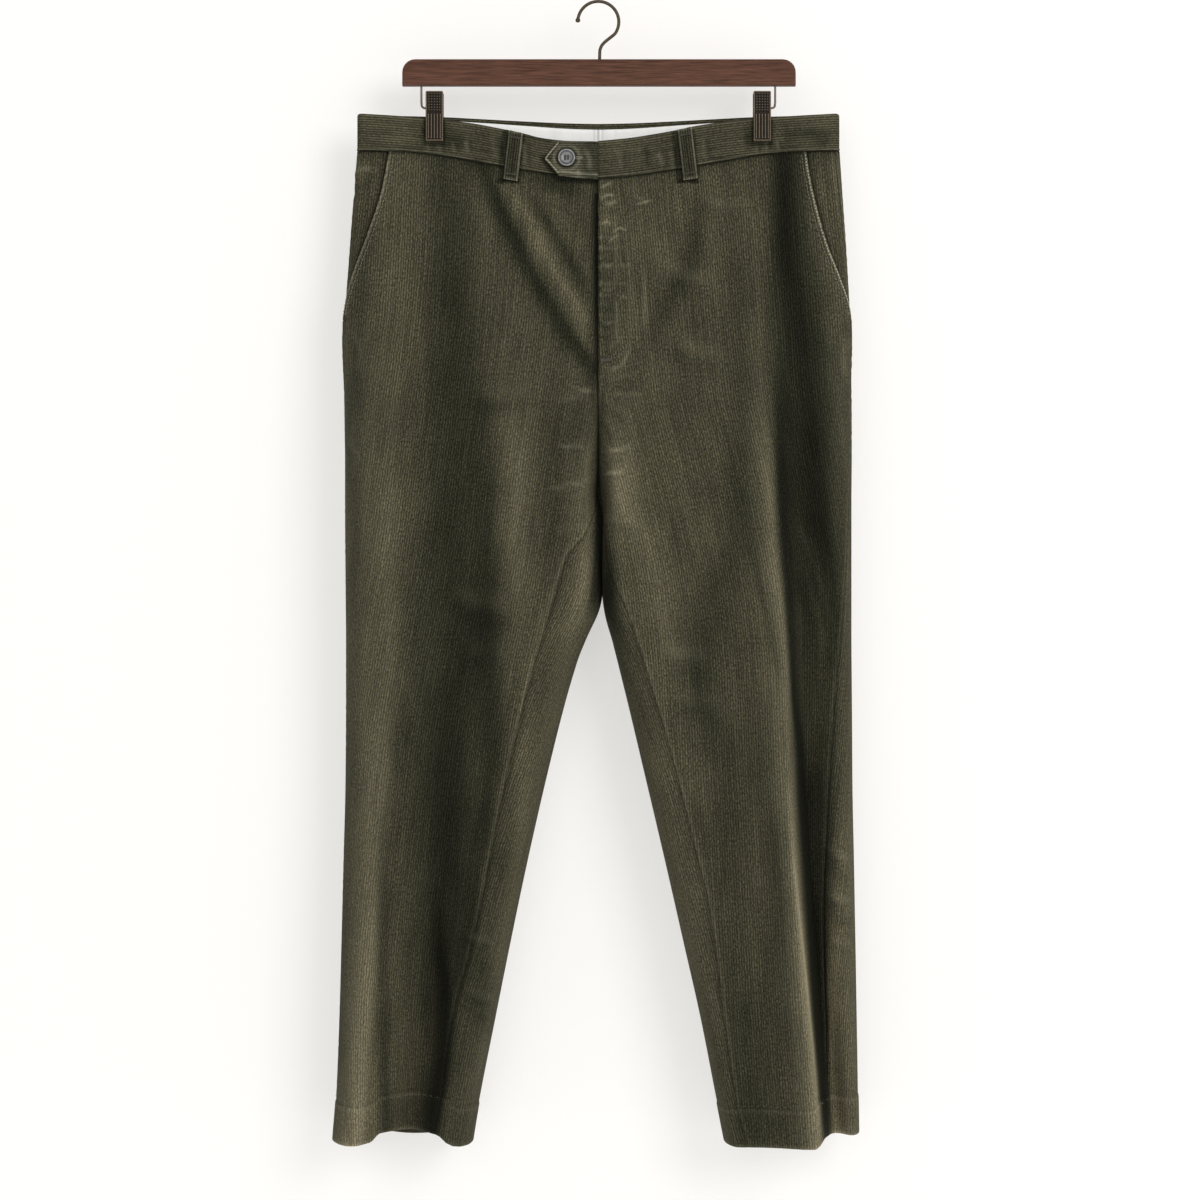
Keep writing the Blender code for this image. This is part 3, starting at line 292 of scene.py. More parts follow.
# %% Seams and guide lines: drop, out
POCKET_SLANT = table("""
left: 149 208, 190 216, 234 230, 270 242.5, 292 248.5, 319 253;
right: 149 207, 168 209.5, 204 217, 244 228, 277 240, 306 248.5, 322 251""")
OUTSEAM = table("""
left: 149 -8, 1137 -8;
right: 149 8, 322 6, 394 8, 504 22, 608 32, 687 40, 749 45, 835 53, 900 60, 1000 64, 1137 62""")
INSEAM = table("""
left: 486 0, 500 13, 560 33, 611 48, 682 69, 779 92, 933 124, 1012 145, 1097 156.5, 1137 162;
right: 486 0, 500 4, 564 10, 606 27, 679 51, 750 72, 849 97, 894 108, 1102 138, 1137 148""")
# Lines that the front nets' columns follow, from the outer edge inward.
FRONT_GUIDES = {
    "left": table("""
outer: 149 196, 300 199, 360 208, 600 208, 747 211, 847 218, 970 226, 1137 238;
middle: 149 178, 350 188, 600 192, 747 198, 847 208, 970 217, 1137 227;
inner: 149 104, 300 112, 386 122, 561 148, 739 182, 863 197, 947 207, 1018 212, 1137 215"""),
    "right": table("""
outer: 149 170, 400 171, 475 177, 560 184, 650 191, 750 195, 850 202, 950 209, 1050 217, 1137 224;
middle: 149 156, 350 157, 450 163, 550 171, 650 181, 750 185, 850 190, 950 197, 1050 206, 1137 214;
inner: 149 100, 386 120, 449 134, 517 150, 590 164, 671 172, 750 175, 950 186, 1137 200"""),
}
print("guide lines:", {half: len(g) for half, g in FRONT_GUIDES.items()})


# %% Waist and hem tables
# The waist, a row for each distance from the middle plane.
WAIST = columns("""
out front_depth back_depth front_seam back_top back_seam
0 16 20 178 119 157.5
30 15.5 19.5 175.5 118.5 157
76 12.5 16 168.5 117 155.5
120 8.5 10.5 160.5 115.5 153
155 5 5.4 153.8 114.5 151
172 4.6 5 151.6 114 150.2
205 7 7.4 149.5 112.8 149.2
241 7 7 149 112 149""")
FRONT_TOP = columns("""
out left right
0 141 141
30 140.4 138
55 137.6 134
76 132.5 130
96 128.2 125.5
130 121.5 120
164 117.3 116.2
205 114.2 114
241 112 112""")
WAIST_HALF = 241.0  # from the middle plane to the waistband's side edge
WAIST_ROUND = 8.0  # how wide the waistband rolls round at the sides
WAIST_BLEND_DROP = 455.0  # below this the waist's own curve has died away
HEM_FRONT = table("""
left: 125 1136, 146 1135, 160 1126, 215 1124, 226 1132, 265 1134;
right: 126 1136, 212 1135, 224 1128, 260 1127""")
HEM_BACK = table("""
left: 125 1136, 200 1133, 265 1134;
right: 126 1136, 200 1131, 260 1127""")
print("waist rows:", len(WAIST["out"]))


# %% Sizes of the small pieces
TAB_TIP_OUT = 53.0
TAB_SHOULDER_OUT = 39.0
TAB_THICK = 2.2
BUTTON_OUT = 31.6
BUTTON_DROP = 157.0
BUTTON_DIAMETER = 17.4
LOOP_WIDTH = 13.5
LOOP_THICK = 1.6
LOOP_TAIL = 12.0  # how far a belt loop runs on below the waistband
FLY_SHIELD_WIDTH = 42.0
ZIP_WIDTH = 26.0
BAR_TOP_DROP = 57.0
HOOK_WIRE = 3.2
HOOK_RADIUS = 20.5
CLIP_OUT = 163.6
CLIP_WIDTH = 17.5
CLIP_TOP_DROP = 89.0
CLIP_BOTTOM_DROP = 139.0
CLIP_THICK = 2.6
# name: half, face, distance out at the top, distance out at the bottom
BELT_LOOPS = {
    "belt_loop_front_left": ("left", "front", 82.0, 87.5),
    "belt_loop_front_right": ("right", "front", 86.0, 92.0),
    "belt_loop_back_left": ("left", "back", 118.0, 119.0),
    "belt_loop_back_right": ("right", "back", 118.0, 119.0),
}
print("belt loops:", len(BELT_LOOPS) + 1, "with the one at the centre back")


# %% Reading the tables
def smooth(xs, ys, at):
    """A curve through table points that never overshoots them."""
    xs = np.asarray(xs, float)
    ys = np.asarray(ys, float)
    at = np.clip(np.asarray(at, float), xs[0], xs[-1])
    step = np.diff(xs)
    rise = np.diff(ys) / step
    slope = np.zeros(len(xs))
    slope[0], slope[-1] = rise[0], rise[-1]
    same = rise[:-1] * rise[1:] > 0
    pair = rise[:-1] + rise[1:]
    slope[1:-1] = np.where(same, 2 * rise[:-1] * rise[1:] / np.where(same, pair, 1.0), 0.0)
    k = np.clip(np.searchsorted(xs, at, side="right") - 1, 0, len(step) - 1)
    t = (at - xs[k]) / step[k]
    a, b = ys[k], ys[k + 1]
    return (
        a * (1 + 2 * t) * (1 - t) ** 2
        + slope[k] * step[k] * t * (1 - t) ** 2
        + b * t * t * (3 - 2 * t)
        + slope[k + 1] * step[k] * t * t * (t - 1)
    )


def section(name, drop):
    return float(smooth(SECTIONS["drop"], SECTIONS[name], drop))


def waist(name, out):
    return smooth(WAIST["out"], WAIST[name], out)


def front_top(half, out):
    return smooth(FRONT_TOP["out"], FRONT_TOP[half], out)


def line(points, at):
    return smooth(*np.transpose(points), at)


def step_up(edge0, edge1, at):
    t = np.clip((np.asarray(at, float) - edge0) / (edge1 - edge0), 0, 1)
    return t * t * (3 - 2 * t)


def bell(away, reach, power=2):
    """1 where away is 0, falling to 0.37 at the reach and to nothing beyond it."""
    return np.exp(-((away / reach) ** power))


def rolled(distance, radius, roundness=1.0):
    """0 at an edge, 1 a radius away from it: a quarter round, or a softer V at roundness 0."""
    t = np.clip(distance / radius, 0, 1)
    return roundness * np.sqrt(1 - (1 - t) ** 2) + (1 - roundness) * np.sin(math.pi / 2 * t)


print("waist seam drop at the middle:", float(waist("front_seam", 0.0)))


# %% The section of one leg
def folds(table, out, drop):
    """The height that all the folds of one half add at a height and at distances out."""
    total = np.zeros(len(out))
    for rows in table.values():
        data = np.array(rows, float)
        if not data[0, 0] <= drop <= data[-1, 0]:
            continue
        centre, height, outward, inward = (smooth(data[:, 0], data[:, k], drop) for k in (1, 2, 3, 4))
        reach = np.where(out > centre, outward, inward)
        total += height * bell(out - centre, reach)
    return total


def run_depth(half, face, out, drop):
    """Depth of the front or back face of one half at distances out."""
    side = section("side_" + half, drop)
    inner = section("inner_" + half, drop)
    full = section(face, drop)
    middle = section("mid_" + face, drop)
    table = (FRONT_FOLDS if face == "front" else BACK_FOLDS)[half]
    at_side = rolled(side - out, section("round_side", drop))
    apart = float(step_up(FORK_DROP, FORK_DROP + 60, drop))
    at_inner = rolled(out - inner, section("round_inner", drop), apart)
    body = (full + folds(table, out, drop)) * at_side * at_inner
    body = body + middle * (1 - at_inner) * at_side
    waist_curve = waist(face + "_depth", out) - BAND_PROUD
    top = waist_curve * rolled(side - out, WAIST_ROUND)
    share = float(step_up(149.0, WAIST_BLEND_DROP, drop))
    return top * (1 - share) + body * share


def run_length(points):
    """Distance of each point of a path from its first point."""
    return np.concatenate([[0], np.cumsum(np.linalg.norm(np.diff(points, axis=0), axis=1))])


def half_ring(half, drop, count=140):
    """The section of one half: the back run to the side edge, then the front run.

    Returns the points as out and depth (to the front), their arc length measured from the side
    edge, below 0 on the back run, and the index of the side edge."""
    side = section("side_" + half, drop)
    inner = section("inner_" + half, drop)
    turn = np.linspace(0, math.pi, count)
    out = side - (side - inner) * (0.5 - 0.5 * np.cos(turn))
    front = run_depth(half, "front", out, drop)
    back = -run_depth(half, "back", out, drop)
    points = np.concatenate(
        [np.stack([out, back], 1)[::-1], np.stack([out, front], 1)[1:]]
    )
    arc = run_length(points)
    return points, arc - arc[count - 1], count - 1


def front_arc(ring, out):
    """Arc length of the point of the front run that lies at a distance out."""
    points, arc, edge = ring
    run_out, run_arc = points[edge:, 0][::-1], arc[edge:][::-1]
    return float(np.interp(out, run_out, run_arc))


def in_order(keys, start, end, least):
    """Keys held between start and end, each a little past the one before."""
    held = [start]
    left = len(keys)
    for key in keys:
        held.append(min(max(key, held[-1] + least), end - least * left))
        left -= 1
    return held + [end]


def panel_start(half, ring, drop):
    if drop <= POCKET_END_DROP:
        return front_arc(ring, float(line(POCKET_SLANT[half], drop)))
    return float(line(OUTSEAM[half], drop))


def inseam_arc(half, ring, drop):
    """Arc length of the inseam, which leaves the fork no faster than INSEAM_LEAVES."""
    end = ring[1][-1]
    wrapped = end - front_arc(ring, float(line(INSEAM[half], drop)))
    return end - min(wrapped, INSEAM_LEAVES * (drop - FORK_DROP))


print("points of a section:", len(half_ring("left", 300.0)[0]))


# %% From a flat section to its place
def warped_drop(half, face, out, drop):
    """The real drop of a point in a nominally level row: level but for the waist and hem."""
    if drop < LEVEL_DROP:
        seam = waist(face + "_seam", out)
        share = (drop - FIRST_ROW) / (LEVEL_DROP - FIRST_ROW)
        return seam * (1 - share) + LEVEL_DROP * share
    if drop > HEM_LEVEL_DROP:
        hem = line((HEM_FRONT if face == "front" else HEM_BACK)[half], out)
        share = (drop - HEM_LEVEL_DROP) / (LAST_ROW - HEM_LEVEL_DROP)
        return HEM_LEVEL_DROP * (1 - share) + hem * share
    return np.full_like(out, drop)


def placed(half, row, drop):
    """A section's points in the part's frame, in millimetres."""
    out, depth = row[:, 0], row[:, 1]
    front = warped_drop(half, "front", out, drop)
    back = warped_drop(half, "back", out, drop)
    real = np.where(depth >= 0, front, back)
    bow = CROTCH_BEND * float(step_up(486, 520, drop) * (1 - step_up(590, 640, drop)))
    sideways = bow * bell(out, 16) * np.clip(1 - np.abs(depth) / 26, 0, 1)
    return np.stack([HALVES[half] * out + sideways, -depth, -real], 1)


print("hem edge, left front:", placed("left", np.array([[180.0, 30.0]]), 1136.0).round(1).tolist())


# %% Walls: faces and the way out of the cloth
def quads(rows, cols):
    r, c = np.meshgrid(np.arange(rows - 1), np.arange(cols - 1), indexing="ij")
    a = (r * cols + c).ravel()
    return np.stack([a, a + 1, a + cols + 1, a + cols], 1)


def offsets(grids, flips):
    """Outward vectors for every point of grids that meet at seams.

    A vector, times a thickness, moves a point so that all the faces round it move by that
    thickness. Points in the same place, on two grids, share one vector."""
    points = np.concatenate([g.reshape(-1, 3) for g in grids])
    faces, start = [], 0
    for grid, flip in zip(grids, flips):
        f = quads(*grid.shape[:2]) + start
        faces.append(f[:, ::-1] if flip else f)
        start += grid.shape[0] * grid.shape[1]
    faces = np.concatenate(faces)
    _, weld = np.unique(np.round(points, 3), axis=0, return_inverse=True)
    weld = weld.ravel()
    first, second, third, fourth = (points[faces[:, k]] for k in range(4))
    normal = np.cross(third - first, fourth - second)
    area = np.linalg.norm(normal, axis=1)
    normal = normal / np.maximum(area, 1e-9)[:, None]
    weight = np.sqrt(area)
    count = weld.max() + 1
    matrix = np.zeros((count, 3, 3))
    vector = np.zeros((count, 3))
    for corner in range(4):
        at = weld[faces[:, corner]]
        np.add.at(matrix, at, weight[:, None, None] * normal[:, :, None] * normal[:, None, :])
        np.add.at(vector, at, weight[:, None] * normal)
    total = np.trace(matrix, axis1=1, axis2=2)
    mean = vector / np.maximum(np.linalg.norm(vector, axis=1), 1e-9)[:, None]
    steady = 0.2 * np.maximum(total, 1e-9)
    matrix += steady[:, None, None] * np.eye(3)
    solved = np.linalg.solve(matrix, (vector + steady[:, None] * mean)[:, :, None])[:, :, 0]
    length = np.linalg.norm(solved, axis=1)
    solved *= np.minimum(1, 1.5 / np.maximum(length, 1e-9))[:, None]
    out, start = [], 0
    for grid in grids:
        size = grid.shape[0] * grid.shape[1]
        out.append(solved[weld[start:start + size]].reshape(grid.shape))
        start += size
    return out


print("nets can be walled")


# %% Laps: pocket, fly and band
def along_row(grid):
    """Distance of each point from its row's first point."""
    steps = np.linalg.norm(np.diff(grid, axis=1), axis=2)
    return np.concatenate([np.zeros((len(grid), 1)), np.cumsum(steps, axis=1)], axis=1)


def front_lift(half, grid, drops):
    """How far a front panel is raised over its pocket facing or sunk under the fly's edge."""
    drop = np.array(drops, float)[:, None]
    near_pocket = 1 - step_up(POCKET_UNDERLAP + 2, POCKET_UNDERLAP + 28, along_row(grid))
    over_facing = 1 - step_up(FACING_END_DROP, 398, drop)
    lift = (CLOTH + POCKET_GAP) * near_pocket * over_facing
    if half == "left":
        near_fly = 1 - step_up(2, 26, np.abs(grid[:, :, 0]))
        lift = lift - (CLOTH + 0.3) * near_fly * (1 - step_up(FLY_END_DROP, 400, drop))
    return lift[:, :, None]


def front_strip(outs, drops, level):
    """A grid over the front faces: outs below 0 on the left half, at nominal drops."""
    rows = []
    for drop in drops:
        row = []
        for out in outs:
            half = "left" if out < 0 else "right"
            depth = run_depth(half, "front", np.array([abs(float(out))]), drop)
            row.append(placed(half, np.stack([[abs(out)], depth], 1), drop)[0])
        rows.append(row)
    grid = np.array(rows)
    way = offsets([grid], [True])[0]
    return grid + level * way, way


def band_row(half, face, outs):
    depth = waist(face + "_depth", outs) * rolled(WAIST_HALF - outs, WAIST_ROUND)
    if half == "left" and face == "front":
        under_tab = TAB_THICK + LAYER_GAP
        depth = depth - under_tab * (1 - step_up(TAB_TIP_OUT + 4, TAB_TIP_OUT + 28, outs))
    return depth


def band_top(half, face, outs):
    if face == "back":
        return waist("back_top", outs)
    return front_top(half, outs)


def band_grid(half, face, outs, rows):
    depth = band_row(half, face, outs)
    top = band_top(half, face, outs)
    bottom = waist(face + "_seam", outs) - SEAM_HALF_GAP
    sign = -1 if face == "front" else 1
    return np.array([
        np.stack([HALVES[half] * outs, sign * depth, -(top + (bottom - top) * k / (rows - 1))], 1)
        for k in range(rows)
    ])


print("band bottom at the side:", float(waist("front_seam", WAIST_HALF)))


# %% [markdown]
# ## Fine rows and columns
# The cloth that shows needs a point every 1.5 to 4 mm, where the CAD has one every few centimetres,
# so the same form is read again on a finer net. Rows are closest beside the pockets, the fly and
# the hem. Columns follow the crease and the big folds, so that no face cuts across a fold.

# %% Rows, columns and the walk along each row
POCKET_ROW_STEP = 1.7
LEG_ROW_STEP = 3.7
HEM_ROW_STEP = 2.2
FINE_ROWS = np.concatenate([
    np.arange(149.0, 326.0, POCKET_ROW_STEP),
    np.arange(327.0, HEM_LEVEL_DROP, LEG_ROW_STEP),
    np.arange(HEM_LEVEL_DROP, 1135.0, HEM_ROW_STEP),
    [1136.0],
])
FRONT_COLUMNS = {"left": (5, 16, 8, 20, 44), "right": (5, 24, 10, 10, 50)}
BACK_COLUMNS = (10, 78, 18)
FACING_COLUMNS = (12, 6)


@functools.lru_cache(maxsize=None)
def ring_at(half, drop):
    return half_ring(half, drop, 200)


def walk(path, keys, steps):
    """Points along a path, and the length along it of each."""
    points, arc = path
    places = [keys[0]]
    for a, b, count in zip(keys, keys[1:], steps):
        places += list(np.linspace(a, b, count + 1)[1:])
    places = np.array(places)
    row = np.stack([np.interp(places, arc, points[:, k]) for k in (0, 1)], 1)
    return row, places


def front_walk(half, drop):
    """A front panel's row, from the outseam or pocket edge to the fly or inseam."""
    ring = ring_at(half, drop)
    start = panel_start(half, ring, drop)
    end = ring[1][-1] if drop <= FORK_DROP else inseam_arc(half, ring, drop)
    keys = [front_arc(ring, float(line(guide, drop))) for guide in FRONT_GUIDES[half].values()]
    edge_step = 0.0 if half == "left" and drop > POCKET_END_DROP else start + 7.0
    keys.insert(0, edge_step)
    row, places = walk(ring[:2], in_order(keys, start, end, 1.5), FRONT_COLUMNS[half])
    return row, places - keys[-1]


def back_walk(half, drop):
    """A back panel's row, from the seat seam or inseam round to the outseam."""
    ring = ring_at(half, drop)
    points, arc, _ = ring
    outseam = float(line(OUTSEAM[half], drop))
    if drop <= FORK_DROP:
        near = 2.0 + 34.0 * (1 - float(step_up(360, FORK_DROP, drop)))
        keys = [arc[0], arc[0] + near]
        path = (points, arc)
    else:
        inseam = inseam_arc(half, ring, drop)
        wrap = arc >= inseam
        lead = arc[wrap] - arc[-1] + arc[0]
        wrap_start = np.array([np.interp(inseam, arc, points[:, k]) for k in (0, 1)])
        path = (
            np.concatenate([[wrap_start], points[wrap][:-1], points]),
            np.concatenate([[inseam - arc[-1] + arc[0]], lead[:-1], arc]),
        )
        keys = [path[1][0], arc[0]]
    keys += [min(-28.0, outseam - 18.0), outseam]
    row, places = walk(path, keys, BACK_COLUMNS)
    return row, places - 0.5 * (keys[0] + keys[-1])


def facing_walk(half, drop):
    """A pocket facing's row, from the outseam to under the front panel."""
    ring = ring_at(half, drop)
    outseam = float(line(OUTSEAM[half], drop))
    slant = max(front_arc(ring, float(line(POCKET_SLANT[half], drop))), outseam + 2.0)
    underlap = POCKET_UNDERLAP * (1 - 0.7 * float(step_up(250, POCKET_END_DROP, drop)))
    return walk(ring[:2], [outseam, slant, slant + underlap], FACING_COLUMNS)


THIGHS_PART = {"left": (560, 660), "right": (566, 640)}  # drops


def pressed_thigh(half, row, drop):
    """Below the fork the thighs touch: a row with its inner side moved to the middle plane."""
    start, end = THIGHS_PART[half]
    if FORK_DROP < drop < end:
        gap = float(ring_at(half, drop)[0][:, 0].min()) + 0.3
        pressed = 1 - float(step_up(start, end, drop))
        row = row.copy()
        row[:, 0] -= gap * pressed * bell(row[:, 0] - gap, 9.0)
    return row


def net(half, walker, drops):
    """A panel's points, and how far across the cloth each lies from its grain line."""
    rows = [walker(half, float(drop)) for drop in drops]
    grid = np.array([placed(half, pressed_thigh(half, row, float(drop)), float(drop))
                     for (row, _), drop in zip(rows, drops)])
    return grid, np.array([across for _, across in rows])


class Panel:
    """One cut piece: its points, its place on the cloth, its wear and painted highlight, and its painted
    light and shade.
    """

    def __init__(self, kind, half, grid, across, drops):
        self.kind, self.half, self.grid, self.drops = kind, half, grid, drops
        self.from_first = along_row(grid)
        self.from_last = self.from_first[:, -1:] - self.from_first
        down = np.linalg.norm(np.diff(grid, axis=0), axis=2).mean(axis=1)
        along = np.concatenate([[0.0], np.cumsum(down)])
        across = np.broadcast_to(across, grid.shape[:2])
        self.cloth = np.stack([across, np.repeat(along[:, None], grid.shape[1], 1)], 2)
        self.lift, self.rub, self.shade, self.painted_shading_and_tone = np.zeros((4, *grid.shape[:2]))

    @property
    def x(self):
        return self.grid[:, :, 0]

    @property
    def drop(self):
        return -self.grid[:, :, 2]

    @property
    def across(self):
        return self.cloth[:, :, 0]

    @property
    def along(self):
        return self.cloth[:, :, 1]

    def area(self):
        """Square metres of cloth, without its small relief."""
        first = self.grid[1:, 1:] - self.grid[:-1, :-1]
        second = self.grid[1:, :-1] - self.grid[:-1, 1:]
        return float(np.linalg.norm(np.cross(first, second), axis=2).sum() / 2) * MM * MM


panels = {}
facing_rows = FINE_ROWS[FINE_ROWS <= FACING_END_DROP]
for half in HALVES:
    for kind, walker, drops in (
        ("front_leg", front_walk, FINE_ROWS),
        ("back_leg", back_walk, FINE_ROWS),
        ("pocket_facing", facing_walk, facing_rows),
    ):
        grid, across = net(half, walker, drops)
        panels[f"{kind}_{half}"] = Panel(kind, half, grid, across, drops)
for name, panel in panels.items():
    print(name, panel.grid.shape[:2], "cloth", round(panel.area(), 4), "m2")
ways = offsets([p.grid for p in panels.values()], [p.half == "left" for p in panels.values()])
for panel, way in zip(panels.values(), ways):
    panel.way = way

# %% [markdown]
# ## Small folds, puckers and pressed lines
# On the big folds lie small ones: drags that fan out from the fork, the pressed crease, ripples
# along seams, crumples behind the knee. A simulation would scatter them, so each is a stroke: a
# path across the cloth with a width and a height, below zero for a trough, that fades at its ends.

# %% Strokes
def stroke(x, drop, path, width, fade=0.3):
    """1 on a path and 0 away from it, fading towards both of its ends."""
    path = np.reshape(path, (-1, 2))
    best = np.full(x.shape, 1e9)
    place = np.zeros(x.shape)
    lengths = np.linalg.norm(np.diff(path, axis=0), axis=1)
    total = lengths.sum()
    start = 0.0
    for a, b, length in zip(path, path[1:], lengths):
        t = ((x - a[0]) * (b[0] - a[0]) + (drop - a[1]) * (b[1] - a[1])) / length ** 2
        t = np.clip(t, 0, 1)
        away = np.hypot(x - a[0] - t * (b[0] - a[0]), drop - a[1] - t * (b[1] - a[1]))
        nearer = away < best
        best = np.where(nearer, away, best)
        place = np.where(nearer, (start + t * length) / total, place)
        start += length
    ends = np.clip(np.minimum(place, 1 - place) / max(fade, 1e-6), 0, 1)
    ends = ends * ends * (3 - 2 * ends)
    return bell(best, width) * ends


# Strokes on the front: path of (x, drop), width, height, wear and painted highlight.
FRONT_STROKES = table("""
drags that fan out from the foot of the fly: 1.6 .8 .6 -4 391 -14 390 -30 386,
1.8 .9 .6 3 368 12 370 22 366 28 356 31 344, 1.5 -.8 0 2 361 10 360 18 356, 1.6 .7 .45 8 348 16 344 24 336,
1.6 -.6 0 .5 352 1.5 364 .5 376, 3.4 .6 .25 -3 384 -18 396 -44 402, 4 .6 .1 -3 396 -14 414 -30 428,
2.2 .6 .25 2 376 18 378 44 372, 1.8 .7 .5 12 393 26 396 46 394, 3.6 .6 .1 3 392 16 408 36 418,
4.2 .6 .1 3 402 12 424 26 442;
level pulls across the crotch: 1.8 .7 .5 -10 446 -22 444 -44 448, 1.8 .7 .55 -5 478 -22 483 -50 487,
2 -.6 0 -8 494 -20 500 -44 500, 1.8 .7 .6 4 447 16 449 38 446, 1.6 .6 .6 4 470 14 472 28 469,
1.6 -.6 0 6 458 14 460 26 458, 4 .5 .15 6 512 20 520 40 522, 4.4 .5 .15 -8 520 -26 528 -50 528,
8 .5 .06 -60 388 -90 396 -126 392, 9 -.5 0 -64 402 -100 410 -140 404;
the two lines that the fly shield prints through the front: 1.7 .55 .55 17.5 294 17.8 320 17.5 346,
1.7 .45 .35 45.5 262 45.8 300 45.5 336;
puckers and worn spots of the fly: 1.2 .8 .7 36 204 45 202 55 198, 1.2 .5 .35 37 196 44 199 50 205,
1.4 .8 .9 1 188 8 184 16 181, 1.4 .8 .9 1 199 9 194 18 195, 2.4 .5 .6 4 202 12 203 20 199,
1.8 -.8 0 2 209 12 212 24 207, 1.1 .8 .8 12 234 21 227 31 231, 1.1 .7 .7 9 243 16 236 22 234,
1.3 .6 .5 2 224 8 221 13 223, 1.3 .6 .55 2 262 9 266 15 262, 1.3 .6 .55 2 287 9 291 15 287,
1.3 -.6 0 3 304 8 309 14 306, 1.3 .6 .65 3 320 10 324 16 319, 1.3 .5 .35 20 262 26 266 33 262,
1.3 .5 .35 19 300 25 296 31 300, 1.2 -.7 0 35.5 184 35.7 215 35.5 246, 1.3 .4 .22 17 196 17.5 245 17.5 292,
1.4 .35 .15 30 240 31 285 30 328;
soft crumples behind the knees seen from the front: 9 .7 .15 -150 586 -118 600 -84 598,
9 -.7 0 -146 610 -112 622 -78 616, 8 .6 .1 -140 642 -110 650 -86 640, 8 .7 .15 58 642 84 652 116 648,
8 -.6 0 60 664 88 674 120 668, 8 .6 .1 74 690 100 700 130 694;
crumples on the outer side of the right leg: 4 1 .25 225 838 238 850 250 856,
4 -.9 0 224 856 236 868 250 876, 4.2 .9 .25 226 884 238 894 252 896, 4 -.8 0 228 906 240 916 253 918,
4 .8 .2 230 932 242 938 254 936, 4 .9 .12 194 510 214 560 236 640;
the worn edge beside the left inseam: 1.4 .3 .2 -13 517 -31 546 -45 582 -59 622 -73 678;
the outer ridge's worn edge: 1.5 .2 .4 186 760 191.5 850 199 920 207.5 997 214 1070 217 1130;
inner side of the left leg above the hem: 4.4 .9 .25 -134 926 -118 934 -100 930,
4.4 -.8 0 -132 950 -114 960 -99 958, 4.2 .8 .2 -128 980 -114 990 -100 992,
4 -.7 0 -124 1006 -112 1012 -104 1010;
rumples beside the pockets: 3 .8 .4 -246 176 -238 168 -224 166, 3 -.7 0 -247 196 -240 186 -230 180,
4 .8 .25 -242 330 -236 350 -240 378, 4 .8 .25 246 332 240 352 244 380, 4 .8 .2 -251 430 -240 452 -246 482;
across the right front below the band: 6 .5 .15 96 196 128 204 158 198, 9 .6 .15 60 258 92 276 120 280,
10 .6 .12 70 330 100 352 140 356""")
BACK_STROKES = table("""
seat knees and hems: 4.6 .9 .25 -3 440 -24 452 -60 456, 5 -.9 0 -3 456 -26 474 -64 482,
4.6 .9 .25 3 432 28 446 64 448, 5 -.9 0 3 452 26 470 60 480, 7 1 .2 -40 500 -74 520 -120 522,
7 1 .2 36 508 72 526 118 524, 9 1.1 .2 -96 640 -140 652 -190 646, 9 -1 0 -92 668 -136 682 -186 676,
8 .9 .15 -100 700 -140 712 -184 706, 9 1.1 .2 88 634 132 648 184 640, 9 -1 0 86 660 130 676 182 670,
8 .9 .15 92 690 132 704 178 700, 5 .9 .2 -214 520 -228 560 -236 610, 5 .9 .2 212 500 228 548 238 600,
4.2 .9 .2 -230 840 -240 858 -249 870, 4.2 -.8 0 -228 880 -240 896 -251 904, 5 .9 .2 118 930 134 944 150 948,
5 .9 .2 -120 960 -138 972 -156 974, 10 .6 .12 -60 230 -96 244 -140 240, 10 .6 .12 66 250 104 262 150 256""")


def add_strokes(panel, strokes):
    toward_front = panel.grid[:, :, 1] < 6
    here = toward_front if strokes is FRONT_STROKES else ~toward_front
    for width, height, rub, *path in sum(strokes.values(), []):
        if (path[0] < 0) != (panel.half == "left"):
            continue
        mark = stroke(panel.x, panel.drop, path, width) * here
        panel.lift += height * mark
        panel.rub += rub * mark
        # Painted shade for each stroke: on a trough itself, and beside a ridge a painted shadow to its
        # lower left, away from the lamp.
        painted_shadow = mark if height < 0 else here * stroke(panel.x + width, panel.drop - width, path, width)
        panel.painted_shading_and_tone -= min(0.5 * abs(height), 0.5) * painted_shadow


for panel in panels.values():
    add_strokes(panel, FRONT_STROKES)
    add_strokes(panel, BACK_STROKES)
print("strokes on the front:", {title: len(rows) for title, rows in FRONT_STROKES.items()})

# %% [markdown]
# ## Seams, crease and hem
# A plain seam dips at the join, rises a little over its pressed edges and ripples, because thread
# takes up more length than cloth. The crease is ironed in down the middle of each leg. The hem is
# turned up 38 mm and caught from inside, so its upper edge shows as a faint step.

# %% Pressed seams
PRESSED_EDGE = 11.0  # how far the seam's pressed edges reach inside
HEM_TURN_UP = 38.0


def ripple(along, pitch, seed):
    """Uneven waves from -1 to 1 along a seam."""
    rng = np.random.default_rng(seed)
    total = np.zeros_like(along)
    for share in (0.8, 1.0, 1.37):
        total += np.sin(2 * math.pi * along / (pitch * share) + rng.uniform(0, 6.28))
    swell = 0.55 + 0.45 * np.sin(2 * math.pi * along / 173 + rng.uniform(0, 6.28))
    return total / 3 * swell


def press_seam(panel, away, seed, start=0.0, end=2000.0, ripples=0.45):
    """The dip, pressed edges and ripples of a seam, from the distance away from it."""
    inside = (panel.drop >= start) & (panel.drop <= end)
    panel.lift += inside * (-0.5 * bell(away, 1.3))
    panel.lift += inside * 0.32 * (1 - step_up(PRESSED_EDGE - 2, PRESSED_EDGE + 3, away))
    waves = ripple(panel.along, 10.5, seed)
    panel.lift += inside * ripples * waves * np.exp(-away / 11)
    panel.rub += inside * 0.32 * bell(away - 2.2, 1.5) * (0.6 + 0.4 * waves)
    panel.shade += inside * 0.4 * bell(away, 1.2)


